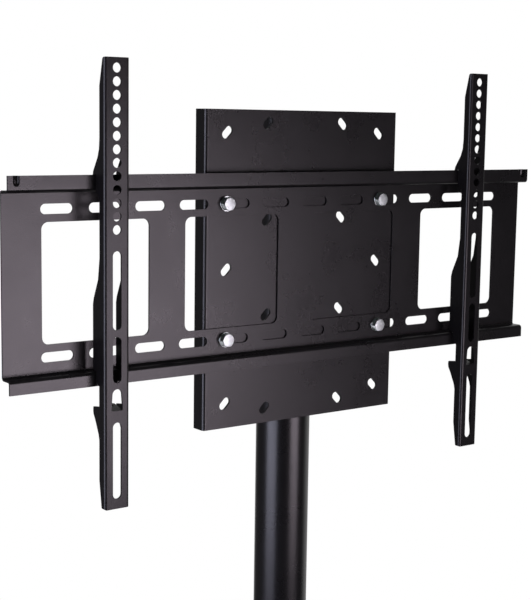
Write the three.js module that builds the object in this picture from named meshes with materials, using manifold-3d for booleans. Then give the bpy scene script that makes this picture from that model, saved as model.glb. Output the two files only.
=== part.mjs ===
// A free-standing television stand with a hook-on wall-style mount.
// A steel base carries a two-part telescoping column. A folded head plate is strapped to the
// upper pole, a slotted rail plate is bolted to the head plate, and two arms hook over its rails.
// Millimetres, +Z up, the television side faces -Y. The origin is on the floor under the middle
// of the base.

import * as THREE from "three";
import { mergeVertices } from "three/addons/utils/BufferGeometryUtils.js";
import Module from "manifold-3d";

const wasm = await Module();
wasm.setup();

// Driving dimensions of the base
const BASE_WIDTH = 720;
const BASE_DEPTH = 480;
const BASE_THICKNESS = 8;
const BASE_CORNER_RADIUS = 36;
const FOOT_HEIGHT = 10;
const FOOT_RADIUS = 20;
const FOOT_INSET = 50;
const FOOT_SCREW_RADIUS = 2.5;

// Driving dimensions of the column
const POLE_Y = 60;
const COLUMN_RADIUS = 35;
const COLUMN_WALL = 2.5;
const COLUMN_TOP_Z = 820;
const POLE_RADIUS = 29.5;
const POLE_WALL = 2.5;
const POLE_BOTTOM_Z = 520;
const POLE_TOP_Z = 1409;
const CAP_THICKNESS = 5;
const CAP_SPIGOT = 14;
const GAP = 0.3;
const FLANGE_RADIUS = 90;
const FLANGE_THICKNESS = 8;
const FLANGE_BOLT_CIRCLE = 70;
const SOCKET_HEIGHT = 55;
const SOCKET_WALL = 7;
const COLLAR_HEIGHT = 45;
const COLLAR_WALL = 8;
const COLLAR_SLIT = 5;
const LUG_WIDTH = 9;
const LUG_REACH = 9;
const BUSH_LENGTH = 60;
const BUSH_FLANGE = 3;
const BUSH_SLIT = 3;
const SHOE_HEIGHT = 40;
const SHOE_FLOOR = 5;
const LOWER_OUTLET_Z = 130;
const OUTLET_WIDTH = 18;
const OUTLET_HEIGHT = 36;
const GROMMET_WALL = 2.4;
const GROMMET_RIM = 3.5;

// Driving dimensions of the head, measured from the middle of the rail plate's front face
const HEAD_Z = 1250;
const RAIL_OFFSET_X = -14.3;
const RAIL_SHEET = 2;
const HEAD_SHEET = 2.5;
const HEAD_WIDTH = 256;
const HEAD_TOP = 165.3;
const HEAD_BOTTOM = -163.9;
const HEAD_DEPTH = 17.8;
const HEAD_HOLES_Z = 2;
const HEAD_OVAL_WIDTH = 8.6;
const HEAD_OVAL_STRETCH = 6;
const HEAD_OUTER_COLUMN = 101.3;
const HEAD_OUTER_ROWS = [-140, -70, 0, 70, 140];
const HEAD_INNER_COLUMN = 50;
const HEAD_INNER_ROWS = [-150, -50, 50, 150];
const HEAD_BEND_RADIUS = 3.5;
const BOLT_SPREAD = 103;
const BOLT_ROW = 70;
const STRAP_Z = [100, -100];
const STRAP_SHEET = 4;
const STRAP_HEIGHT = 30;
const STRAP_EAR_END = 60;
const STUD_X = 46;
const STUD_RADIUS = 4;

// Driving dimensions of the rail plate
const RAIL_HALF_LENGTH = 338.5;
const LIP_FRONT = 14.4;
const WEB_Z = 88;
const LIP_TOP = 101.6;
const LIP_BOTTOM = -99.8;
const RAIL_BEND_RADIUS = 3.5;
const SLOT_COUNT = 12;
const SLOT_PITCH = 51.2;
const SLOT_LENGTH = 34.2;
const SLOT_HALF_HEIGHT = 4.85;
const SLOT_ROW_Z = 69.9;
const WINDOW_HALF_HEIGHT = 57.7;
const WINDOW_RADIUS = 7;
const INNER_WINDOW = [21.7, 138.3];
const OUTER_WINDOW = [180.3, 297.7];
const STOP_X = 329.8;
const STOP_RADIUS = 3.4;
const STOP_HEIGHT = 10;
const STOP_WALL = 1.6;
const STOP_AXIS = 0.5;

// Driving dimensions of the arms, as depths behind their front face and heights at the rail
const LEFT_ARM_X = -234.9;
const RIGHT_ARM_X = 236.5;
const ARM_WIDTH = 27.2;
const ARM_CORNER = 2;
const ARM_SHEET = 2;
const ARM_FACE = 31.2;
const ARM_TOP = 210.2;
const ARM_BOTTOM = -218.4;
const ARM_BEND_RADIUS = 3;
const ARM_HOLE_RADIUS = 4.6;
const ARM_HOLE_PITCH = 12.5;
const ARM_HOLE_COUNT = 13;
const ARM_TOP_HOLE = 200.6;
const ARM_SLOTS = [[-44.6, 30.6], [-95.5, -50.9], [-208.6, -133.7]];
const ARM_SLOT_RADIUS = 4.7;
const ARM_WINDOW_TOP = -101.3;
const ARM_WINDOW_BOTTOM = -122.4;
const ARM_WINDOW_WIDTH = 12.4;
const ARM_NARROW = 9.8;
const ARM_WIDE = 22.4;
const HOOK_FOOT = 91.5;
const TAB_LENGTH = 15;
const TAB_RISE = 4.5;
const TAB_WIDTH = 11.4;
const TAB_NOTCH_WIDTH = 3.2;
const TAB_NOTCH_DEPTH = 4;

// Driving dimensions of the fasteners, as across-flats, head height and shank radius
const M8 = { flats: 13, head: 5.3, radius: 4, nut: 6.5, washer: 8.2, washerThickness: 1.6 };
const M10 = { flats: 16, head: 6.4, radius: 5, nut: 8, washer: 10, washerThickness: 2 };

// Segments of the round shapes: a turned shape, a small turned shape, and half an arc
const ROUND = 32;
const SMALL_ROUND = 12;
const HALF_ARC = 3;
const HALF_BEND = 2;

// Values that follow from the driving dimensions
const BASE_TOP = FOOT_HEIGHT + BASE_THICKNESS;
const RAIL_Y = POLE_Y - POLE_RADIUS - GAP - HEAD_SHEET - RAIL_SHEET;
const HEAD_BACK = RAIL_SHEET + HEAD_SHEET;

// Finishes
const blackPowderCoat = new THREE.MeshStandardMaterial({ color: 0x2b2a2d, roughness: 0.55, metalness: 0.3 });
const zincPlate = new THREE.MeshStandardMaterial({ color: 0xb9bcc2, roughness: 0.35, metalness: 1 });
const blackPlastic = new THREE.MeshStandardMaterial({ color: 0x18181a, roughness: 0.6, metalness: 0 });
const blackRubber = new THREE.MeshStandardMaterial({ color: 0x121212, roughness: 0.9, metalness: 0 });

// A geometry as a solid that can be cut and joined
function solid(geometry) {
  const bare = geometry.clone();
  bare.deleteAttribute("normal");
  bare.deleteAttribute("uv");
  const merged = mergeVertices(bare, 1e-4);
  const vertProperties = merged.attributes.position.array;
  const triVerts = new Uint32Array(merged.index.array);
  return new wasm.Manifold(new wasm.Mesh({ numProp: 3, vertProperties, triVerts }));
}

// A solid as a geometry that a mesh can show
function geometryOf(body) {
  const mesh = body.getMesh();
  const geometry = new THREE.BufferGeometry();
  geometry.setAttribute("position", new THREE.BufferAttribute(mesh.vertProperties, 3));
  geometry.setIndex(new THREE.BufferAttribute(mesh.triVerts, 1));
  geometry.computeVertexNormals();
  return geometry;
}

// A flat outline thickened straight up from height low to height high
function upright(shape, low, high, curveSegments = HALF_ARC) {
  const settings = { depth: high - low, bevelEnabled: false, curveSegments };
  return solid(new THREE.ExtrudeGeometry(shape, settings).translate(0, 0, low));
}

// An outline in X and Z thickened from front to back along Y
function frontal(shape, front, back, curveSegments = HALF_ARC) {
  const settings = { depth: back - front, bevelEnabled: false, curveSegments };
  return solid(new THREE.ExtrudeGeometry(shape, settings).rotateX(Math.PI / 2).translate(0, back, 0));
}

// An outline in Y and Z thickened from left to right along X
function sideways(shape, left, right, curveSegments = HALF_ARC) {
  const settings = { depth: right - left, bevelEnabled: false, curveSegments };
  const turn = new THREE.Matrix4().makeBasis(
    new THREE.Vector3(0, 1, 0),
    new THREE.Vector3(0, 0, 1),
    new THREE.Vector3(1, 0, 0),
  );
  return solid(new THREE.ExtrudeGeometry(shape, settings).applyMatrix4(turn).translate(left, 0, 0));
}

// A turned shape about Z from a list of radius and height pairs
function turned(profile, segments = ROUND) {
  const points = profile.map(([radius, z]) => new THREE.Vector2(radius, z));
  points.push(points[0].clone());
  return solid(new THREE.LatheGeometry(points, segments).rotateX(Math.PI / 2));
}

// A tube about Z
function tube(outer, inner, low, high, segments = ROUND) {
  return turned([[inner, low], [outer, low], [outer, high], [inner, high]], segments);
}

// A round bar about Z
function bar(radius, low, high, segments = ROUND) {
  const geometry = new THREE.CylinderGeometry(radius, radius, high - low, segments);
  return solid(geometry.rotateX(Math.PI / 2).translate(0, 0, (low + high) / 2));
}

// A rounded rectangle outline
function roundedRectangle(left, bottom, right, top, radius) {
  const shape = new THREE.Shape();
  shape.moveTo(left + radius, bottom);
  shape.lineTo(right - radius, bottom);
  shape.absarc(right - radius, bottom + radius, radius, -Math.PI / 2, 0);
  shape.lineTo(right, top - radius);
  shape.absarc(right - radius, top - radius, radius, 0, Math.PI / 2);
  shape.lineTo(left + radius, top);
  shape.absarc(left + radius, top - radius, radius, Math.PI / 2, Math.PI);
  shape.lineTo(left, bottom + radius);
  shape.absarc(left + radius, bottom + radius, radius, Math.PI, 1.5 * Math.PI);
  return shape;
}

// A slot outline with round ends, its middle at x, y, stretched by a length along an angle
function slotOutline(x, y, radius, stretch, angle) {
  const shape = new THREE.Shape();
  const dx = (stretch / 2) * Math.cos(angle);
  const dy = (stretch / 2) * Math.sin(angle);
  shape.absarc(x + dx, y + dy, radius, angle - Math.PI / 2, angle + Math.PI / 2);
  shape.absarc(x - dx, y - dy, radius, angle + Math.PI / 2, angle + 1.5 * Math.PI);
  shape.closePath();
  return shape;
}

// A round outline, as a slot that isn't stretched
function circle(x, y, radius) {
  return slotOutline(x, y, radius, 0, 0);
}

// A closed outline through points
function outline(points) {
  return new THREE.Shape(points.map(([a, b]) => new THREE.Vector2(a, b)));
}

// A hexagon outline of a given width across flats
function hexagon(flats) {
  const corner = flats / Math.sqrt(3);
  const points = [];
  for (let i = 0; i < 6; i += 1) {
    const angle = (i * Math.PI) / 3;
    points.push([corner * Math.cos(angle), corner * Math.sin(angle)]);
  }
  return outline(points);
}

// A hexagon head or nut with the corners of one end turned off
function chamferedHexagon(size, low, high) {
  const corner = size.flats / Math.sqrt(3);
  const face = size.flats / 2;
  const fall = (corner - face) * 0.6;
  const shoulder = high - fall - 0.6;
  const profile = [[0, low], [corner + 1, low], [corner + 1, shoulder], [face * 0.95, high], [0, high]];
  return upright(hexagon(size.flats), low, high).intersect(turned(profile, SMALL_ROUND));
}

// A hex bolt along Z with its head standing on z = 0 and its shank going down
function hexBolt(size, shank) {
  const head = chamferedHexagon(size, 0, size.head);
  return head.add(bar(size.radius, -shank, 0.5, SMALL_ROUND));
}

// A hex nut along Z standing on z = 0
function hexNut(size) {
  const bore = bar(size.radius + GAP, -1, size.nut + 1, SMALL_ROUND);
  return chamferedHexagon(size, 0, size.nut).subtract(bore);
}

// A flat washer along Z standing on z = 0
function washer(size) {
  return tube(size.washer, size.radius + GAP, 0, size.washerThickness, SMALL_ROUND);
}

// A named mesh in a group at a place, turned about X or Y
function place(group, name, body, material, position = [0, 0, 0], rotation = [0, 0, 0]) {
  const mesh = new THREE.Mesh(geometryOf(body), material);
  mesh.name = name;
  mesh.position.set(...position);
  mesh.rotation.set(...rotation);
  group.add(mesh);
  return mesh;
}

// Base plate with tapped holes for the feet and the column flange
const footX = BASE_WIDTH / 2 - FOOT_INSET;
const footY = BASE_DEPTH / 2 - FOOT_INSET;
const feet = [
  ["front_left", -footX, -footY],
  ["front_right", footX, -footY],
  ["rear_left", -footX, footY],
  ["rear_right", footX, footY],
];
const flangeBolts = [1, 3, 5, 7].map((eighth) => {
  const angle = (eighth * Math.PI) / 4;
  return [FLANGE_BOLT_CIRCLE * Math.cos(angle), FLANGE_BOLT_CIRCLE * Math.sin(angle)];
});

function basePlate() {
  const outside = roundedRectangle(
    -BASE_WIDTH / 2,
    -BASE_DEPTH / 2,
    BASE_WIDTH / 2,
    BASE_DEPTH / 2,
    BASE_CORNER_RADIUS,
  );
  feet.forEach(([, x, y]) => outside.holes.push(circle(x, y, FOOT_SCREW_RADIUS + GAP)));
  flangeBolts.forEach(([x, y]) => outside.holes.push(circle(x, POLE_Y + y, M10.radius + GAP)));
  return upright(outside, FOOT_HEIGHT, BASE_TOP);
}

// Rubber foot with a recess underneath for its screw
function rubberFoot() {
  const screwHole = FOOT_SCREW_RADIUS + GAP;
  const recess = 6.5;
  return turned(
    [
      [recess, 0],
      [FOOT_RADIUS - 3, 0],
      [FOOT_RADIUS - 1, 1.5],
      [FOOT_RADIUS, FOOT_HEIGHT],
      [screwHole, FOOT_HEIGHT],
      [screwHole, 5],
      [recess, 5],
    ],
    20,
  );
}

// Pan-head screw that holds a foot from below
function footScrew() {
  const headRadius = 5.2;
  const under = 5;
  const shankEnd = BASE_TOP - 1;
  return turned(
    [
      [0, 1.8],
      [headRadius - 1.2, 1.8],
      [headRadius, 2.8],
      [headRadius, under],
      [FOOT_SCREW_RADIUS, under],
      [FOOT_SCREW_RADIUS, shankEnd],
      [0, shankEnd],
    ],
    SMALL_ROUND,
  );
}

// Flange that carries the column: a round foot with a raised socket
function columnFlange() {
  const bore = COLUMN_RADIUS + GAP;
  const socket = bore + SOCKET_WALL;
  const weld = 4;
  const body = turned([
    [bore, 0],
    [FLANGE_RADIUS, 0],
    [FLANGE_RADIUS, FLANGE_THICKNESS - 1.5],
    [FLANGE_RADIUS - 1.5, FLANGE_THICKNESS],
    [socket + weld, FLANGE_THICKNESS],
    [socket, FLANGE_THICKNESS + weld],
    [socket, SOCKET_HEIGHT - 2],
    [socket - 2, SOCKET_HEIGHT],
    [bore, SOCKET_HEIGHT],
  ]);
  return flangeBolts.reduce((left, [x, y]) => {
    const hole = bar(M10.radius + GAP, -1, FLANGE_THICKNESS + 1, SMALL_ROUND).translate([x, y, 0]);
    return left.subtract(hole);
  }, body);
}

// A cutter for an upright cable outlet through the rear wall of a tube
function outletCutter(radius, z, grow) {
  const half = OUTLET_WIDTH / 2 + grow;
  const shape = slotOutline(0, z, half, OUTLET_HEIGHT - OUTLET_WIDTH, Math.PI / 2);
  return frontal(shape, 0, radius + 8);
}

// Grommet of an outlet: a sleeve through the wall and a curved rim outside
function grommet(radius, wall, z) {
  const low = z - OUTLET_HEIGHT;
  const high = z + OUTLET_HEIGHT;
  const outside = tube(radius + GROMMET_WALL, radius + GAP, low, high);
  const through = tube(radius + GAP + 0.5, radius - wall - GROMMET_WALL, low, high);
  const rim = outletCutter(radius, z, GROMMET_RIM).intersect(outside);
  const sleeve = outletCutter(radius, z, -GAP).intersect(through);
  return rim.add(sleeve).subtract(outletCutter(radius, z, -GROMMET_WALL));
}

// Lower column: a tube with a clamping slit at the top and a cable outlet near the floor
function lowerColumn() {
  const body = tube(COLUMN_RADIUS, COLUMN_RADIUS - COLUMN_WALL, BASE_TOP, COLUMN_TOP_Z);
  const slit = roundedRectangle(-COLLAR_SLIT / 2, COLUMN_TOP_Z - 70, COLLAR_SLIT / 2, COLUMN_TOP_Z + 20, 2);
  return body
    .subtract(outletCutter(COLUMN_RADIUS, LOWER_OUTLET_Z, 0))
    .subtract(frontal(slit, 0, COLUMN_RADIUS + 5));
}

// Guide bush between the column and the pole, with a slit and a rim on the column's end
function columnBush() {
  const inner = POLE_RADIUS + GAP;
  const outer = COLUMN_RADIUS - COLUMN_WALL - GAP;
  const rimLow = COLUMN_TOP_Z + GAP;
  const body = turned([
    [inner, COLUMN_TOP_Z - BUSH_LENGTH],
    [outer, COLUMN_TOP_Z - BUSH_LENGTH],
    [outer, rimLow],
    [COLUMN_RADIUS, rimLow],
    [COLUMN_RADIUS, rimLow + BUSH_FLANGE - 1],
    [COLUMN_RADIUS - 1, rimLow + BUSH_FLANGE],
    [inner, rimLow + BUSH_FLANGE],
  ]);
  const slitHalf = BUSH_SLIT / 2;
  const slit = roundedRectangle(-slitHalf, COLUMN_TOP_Z - BUSH_LENGTH - 5, slitHalf, COLUMN_TOP_Z + 20, 1);
  return body.subtract(frontal(slit, 0, COLUMN_RADIUS + 5));
}

// Split collar that squeezes the column's end on to the bush
const collarOuter = COLUMN_RADIUS + GAP + COLLAR_WALL;
const collarMiddleZ = COLUMN_TOP_Z - 3 - COLLAR_HEIGHT / 2;
const lugOutside = COLLAR_SLIT / 2 + LUG_WIDTH;
const lugY = collarOuter + LUG_REACH;

function clampCollar() {
  const low = collarMiddleZ - COLLAR_HEIGHT / 2;
  const high = collarMiddleZ + COLLAR_HEIGHT / 2;
  const inner = COLUMN_RADIUS + GAP;
  const ring = turned([
    [inner, low],
    [collarOuter - 1.5, low],
    [collarOuter, low + 1.5],
    [collarOuter, high - 1.5],
    [collarOuter - 1.5, high],
    [inner, high],
  ]);
  const lugs = upright(roundedRectangle(-lugOutside, inner + 3, lugOutside, lugY + 11, 3), low, high);
  const slit = upright(
    roundedRectangle(-COLLAR_SLIT / 2, inner - 6, COLLAR_SLIT / 2, lugY + 30, 1),
    low - 5,
    high + 5,
  );
  const boltHole = sideways(circle(lugY, collarMiddleZ, M8.radius + GAP), -lugOutside - 2, lugOutside + 2);
  const bore = bar(inner, low - 5, high + 5);
  return ring.add(lugs.subtract(bore)).subtract(slit).subtract(boltHole);
}

// Upper pole: a tube with a cable outlet behind the head plate
function upperPole() {
  const body = tube(POLE_RADIUS, POLE_RADIUS - POLE_WALL, POLE_BOTTOM_Z, POLE_TOP_Z);
  return body.subtract(outletCutter(POLE_RADIUS, HEAD_Z, 0));
}

// Sliding shoe on the foot of the pole
function poleShoe() {
  const outer = COLUMN_RADIUS - COLUMN_WALL - GAP;
  const inner = POLE_RADIUS + GAP;
  const lip = POLE_RADIUS - POLE_WALL - 3;
  return turned([
    [lip, POLE_BOTTOM_Z - SHOE_FLOOR],
    [outer - 1.5, POLE_BOTTOM_Z - SHOE_FLOOR],
    [outer, POLE_BOTTOM_Z - SHOE_FLOOR + 2],
    [outer, POLE_BOTTOM_Z + SHOE_HEIGHT],
    [inner, POLE_BOTTOM_Z + SHOE_HEIGHT],
    [inner, POLE_BOTTOM_Z - GAP],
    [lip, POLE_BOTTOM_Z - GAP],
  ]);
}

// Cap on the pole's open top, with a spigot inside the tube
function poleCap() {
  const spigot = POLE_RADIUS - POLE_WALL - GAP;
  const low = POLE_TOP_Z + GAP;
  return turned([
    [0, POLE_TOP_Z - CAP_SPIGOT],
    [spigot - 1, POLE_TOP_Z - CAP_SPIGOT],
    [spigot, POLE_TOP_Z - CAP_SPIGOT + 2],
    [spigot, low],
    [POLE_RADIUS, low],
    [POLE_RADIUS, low + CAP_THICKNESS - 3],
    [POLE_RADIUS - 1, low + CAP_THICKNESS - 1.2],
    [POLE_RADIUS - 4, low + CAP_THICKNESS],
    [0, low + CAP_THICKNESS],
  ]);
}

// Head plate: a sheet folded back at both sides, with slanted holes and welded studs
const studEnd = HEAD_BACK + STRAP_SHEET + M8.nut + 2;

function headPlate() {
  const half = HEAD_WIDTH / 2;
  const back = RAIL_SHEET + HEAD_DEPTH;
  const bend = HEAD_BEND_RADIUS;
  const outside = new THREE.Shape();
  outside.moveTo(-half, back);
  outside.lineTo(-half, RAIL_SHEET + bend);
  outside.absarc(-half + bend, RAIL_SHEET + bend, bend, Math.PI, 1.5 * Math.PI);
  outside.lineTo(half - bend, RAIL_SHEET);
  outside.absarc(half - bend, RAIL_SHEET + bend, bend, -Math.PI / 2, 0);
  outside.lineTo(half, back);
  outside.lineTo(half - HEAD_SHEET, back);
  outside.lineTo(half - HEAD_SHEET, RAIL_SHEET + bend);
  outside.absarc(half - bend, RAIL_SHEET + bend, bend - HEAD_SHEET, 0, -Math.PI / 2, true);
  outside.lineTo(-half + bend, HEAD_BACK);
  outside.absarc(-half + bend, RAIL_SHEET + bend, bend - HEAD_SHEET, -Math.PI / 2, -Math.PI, true);
  outside.lineTo(-half + HEAD_SHEET, back);
  let body = upright(outside, HEAD_BOTTOM, HEAD_TOP, HALF_BEND);
  const holes = [];
  [-1, 1].forEach((side) => {
    HEAD_OUTER_ROWS.forEach((z) => holes.push([side * HEAD_OUTER_COLUMN, z, side]));
    HEAD_INNER_ROWS.forEach((z) => holes.push([side * HEAD_INNER_COLUMN, z, side]));
  });
  holes.forEach(([x, z, side]) => {
    const slant = side < 0 ? Math.PI / 4 : (3 * Math.PI) / 4;
    const oval = slotOutline(x, z + HEAD_HOLES_Z, HEAD_OVAL_WIDTH / 2, HEAD_OVAL_STRETCH, slant);
    body = body.subtract(frontal(oval, RAIL_SHEET - 1, HEAD_BACK + 1));
  });
  STRAP_Z.forEach((z) => {
    [-STUD_X, STUD_X].forEach((x) => {
      body = body.add(frontal(circle(x, z, STUD_RADIUS), HEAD_BACK - 0.5, studEnd));
    });
  });
  return body;
}

// Strap that pulls the head plate against the pole, open at the front, with an ear each side
function poleStrap() {
  const inner = POLE_RADIUS + GAP;
  const outer = inner + STRAP_SHEET;
  const centreY = HEAD_BACK + GAP + POLE_RADIUS;
  const shape = new THREE.Shape();
  shape.moveTo(-STRAP_EAR_END, HEAD_BACK);
  shape.lineTo(-inner, HEAD_BACK);
  shape.lineTo(-inner, centreY);
  shape.absarc(0, centreY, inner, Math.PI, 0, true);
  shape.lineTo(inner, HEAD_BACK);
  shape.lineTo(STRAP_EAR_END, HEAD_BACK);
  shape.lineTo(STRAP_EAR_END, HEAD_BACK + STRAP_SHEET);
  shape.lineTo(outer, HEAD_BACK + STRAP_SHEET);
  shape.lineTo(outer, centreY);
  shape.absarc(0, centreY, outer, 0, Math.PI);
  shape.lineTo(-outer, HEAD_BACK + STRAP_SHEET);
  shape.lineTo(-STRAP_EAR_END, HEAD_BACK + STRAP_SHEET);
  let body = upright(shape, -STRAP_HEIGHT / 2, STRAP_HEIGHT / 2, ROUND / 4);
  const behindEar = HEAD_BACK + STRAP_SHEET + 1;
  [-STUD_X, STUD_X].forEach((x) => {
    body = body.subtract(frontal(circle(x, 0, STUD_RADIUS + GAP), HEAD_BACK - 1, behindEar));
  });
  return body;
}

// Rail plate: a slotted sheet whose top and bottom edges step forward into hooking lips
function railProfile() {
  const sheet = RAIL_SHEET;
  const bend = RAIL_BEND_RADIUS;
  const inner = bend - sheet;
  const up = Math.PI / 2;
  const shape = new THREE.Shape();
  shape.moveTo(-LIP_FRONT, LIP_BOTTOM);
  shape.lineTo(-LIP_FRONT + sheet, LIP_BOTTOM);
  shape.lineTo(-LIP_FRONT + sheet, -WEB_Z - inner);
  shape.absarc(-LIP_FRONT + bend, -WEB_Z - inner, inner, Math.PI, up, true);
  shape.lineTo(sheet - bend, -WEB_Z);
  shape.absarc(sheet - bend, -WEB_Z + bend, bend, -up, 0);
  shape.lineTo(sheet, WEB_Z - bend);
  shape.absarc(sheet - bend, WEB_Z - bend, bend, 0, up);
  shape.lineTo(-LIP_FRONT + bend, WEB_Z);
  shape.absarc(-LIP_FRONT + bend, WEB_Z + inner, inner, -up, -Math.PI, true);
  shape.lineTo(-LIP_FRONT + sheet, LIP_TOP);
  shape.lineTo(-LIP_FRONT, LIP_TOP);
  shape.lineTo(-LIP_FRONT, WEB_Z + inner);
  shape.absarc(-LIP_FRONT + bend, WEB_Z + inner, bend, Math.PI, 1.5 * Math.PI);
  shape.lineTo(-inner, WEB_Z - sheet);
  shape.absarc(-inner, WEB_Z - bend, inner, up, 0, true);
  shape.lineTo(0, -WEB_Z + bend);
  shape.absarc(-inner, -WEB_Z + bend, inner, 0, -up, true);
  shape.lineTo(-LIP_FRONT + bend, -WEB_Z + sheet);
  shape.absarc(-LIP_FRONT + bend, -WEB_Z - inner, bend, up, Math.PI);
  return shape;
}

// The round-ended shape of a pressed stop, from its foot up past the lip's top edge
function dent(radius, height, over) {
  const profile = [];
  for (let step = 0; step <= HALF_ARC; step += 1) {
    const angle = (step * Math.PI) / (2 * HALF_ARC);
    profile.push([radius * Math.sin(angle), radius - height - radius * Math.cos(angle)]);
  }
  profile.push([radius, over], [0, over]);
  return turned(profile, SMALL_ROUND);
}

function railPlate() {
  let body = sideways(railProfile(), -RAIL_HALF_LENGTH, RAIL_HALF_LENGTH, HALF_BEND);
  const cuts = [];
  for (let slot = 0; slot < SLOT_COUNT; slot += 1) {
    const x = (slot - (SLOT_COUNT - 1) / 2) * SLOT_PITCH;
    const stretch = SLOT_LENGTH - 2 * SLOT_HALF_HEIGHT;
    cuts.push(slotOutline(x, SLOT_ROW_Z, SLOT_HALF_HEIGHT, stretch, 0));
    cuts.push(slotOutline(x, -SLOT_ROW_Z, SLOT_HALF_HEIGHT, stretch, 0));
  }
  [INNER_WINDOW, OUTER_WINDOW].forEach(([near, far]) => {
    cuts.push(roundedRectangle(near, -WINDOW_HALF_HEIGHT, far, WINDOW_HALF_HEIGHT, WINDOW_RADIUS));
    cuts.push(roundedRectangle(-far, -WINDOW_HALF_HEIGHT, -near, WINDOW_HALF_HEIGHT, WINDOW_RADIUS));
  });
  cuts.forEach((cut) => {
    body = body.subtract(frontal(cut, -2, RAIL_SHEET + 2, HALF_BEND));
  });
  // Each end of the top lip is pressed back into a stop for the arms' hooks.
  [-STOP_X, STOP_X].forEach((x) => {
    const at = [x, -LIP_FRONT - STOP_AXIS, LIP_TOP];
    const bump = dent(STOP_RADIUS + STOP_WALL, STOP_HEIGHT + STOP_WALL, 0).translate(at);
    const scoop = dent(STOP_RADIUS, STOP_HEIGHT, 2).translate(at);
    const behindLip = frontal(
      roundedRectangle(x - 8, LIP_TOP - STOP_HEIGHT - 3, x + 8, LIP_TOP + 2, 1),
      -LIP_FRONT + STOP_AXIS,
      -LIP_FRONT + 12,
    );
    body = body.add(bump.intersect(behindLip)).subtract(scoop);
  });
  return body;
}

// Arm: a channel whose flanges hook over the top rail and rest on the bottom rail
function armFlangeProfile() {
  const frontGap = ARM_FACE - LIP_FRONT - GAP;
  const behind = ARM_FACE - LIP_FRONT + RAIL_SHEET + GAP;
  const narrow = ARM_NARROW;
  const wide = ARM_WIDE;
  const points = [
    [0, ARM_BOTTOM],
    [6.4, ARM_BOTTOM],
    [narrow + 0.9, ARM_BOTTOM + 28],
    [narrow + 0.9, -151.5],
    [narrow + 2.4, -145.6],
    [narrow + 6, -138.2],
    [wide - 3.5, -132],
    [wide - 0.6, -127.3],
    [wide, -124],
    [wide - 0.3, -120.2],
    [narrow + 0.9, -118.6],
    [narrow + 0.9, LIP_BOTTOM + 1],
    [frontGap, LIP_BOTTOM + 3],
    [frontGap, -WEB_Z + RAIL_SHEET + GAP],
    [wide, -WEB_Z + RAIL_SHEET + GAP],
    [wide, -21],
    [wide - 1.5, -15],
    [narrow + 2.9, 3],
    [narrow, 24],
    [narrow, 79],
    [frontGap, 86.5],
    [frontGap, LIP_TOP + GAP],
    [behind, LIP_TOP + GAP],
    [behind, HOOK_FOOT],
    [wide, HOOK_FOOT],
    [wide, 101],
    [wide - 1, 105],
    [narrow + 3.4, 118],
    [narrow + 0.6, 126],
    [narrow - 0.2, 136],
    [narrow - 0.2, 184],
    [3.6, ARM_TOP],
    [0, ARM_TOP],
  ];
  return outline(points.map(([depth, z]) => [depth - ARM_FACE, z]));
}

// The plan of a channel, with rounded outer corners at the front
function channelPlan(half, front, back, radius) {
  const shape = new THREE.Shape();
  shape.moveTo(-half, back);
  shape.lineTo(-half, front + radius);
  shape.absarc(-half + radius, front + radius, radius, Math.PI, 1.5 * Math.PI);
  shape.lineTo(half - radius, front);
  shape.absarc(half - radius, front + radius, radius, -Math.PI / 2, 0);
  shape.lineTo(half, back);
  return shape;
}

// The arched window in an arm's face, wider at its foot
function armWindow() {
  const half = ARM_WINDOW_WIDTH / 2;
  const shoulder = ARM_WINDOW_TOP - 5.5;
  const shape = new THREE.Shape();
  shape.moveTo(-half + 1.5, ARM_WINDOW_BOTTOM);
  shape.lineTo(half - 1.5, ARM_WINDOW_BOTTOM);
  shape.quadraticCurveTo(half, ARM_WINDOW_BOTTOM, half, ARM_WINDOW_BOTTOM + 1.5);
  shape.lineTo(half - 1, shoulder);
  shape.quadraticCurveTo(half - 2.4, ARM_WINDOW_TOP, 0, ARM_WINDOW_TOP);
  shape.quadraticCurveTo(-half + 2.4, ARM_WINDOW_TOP, -half + 1, shoulder);
  shape.lineTo(-half, ARM_WINDOW_BOTTOM + 1.5);
  shape.quadraticCurveTo(-half, ARM_WINDOW_BOTTOM, -half + 1.5, ARM_WINDOW_BOTTOM);
  return shape;
}

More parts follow.
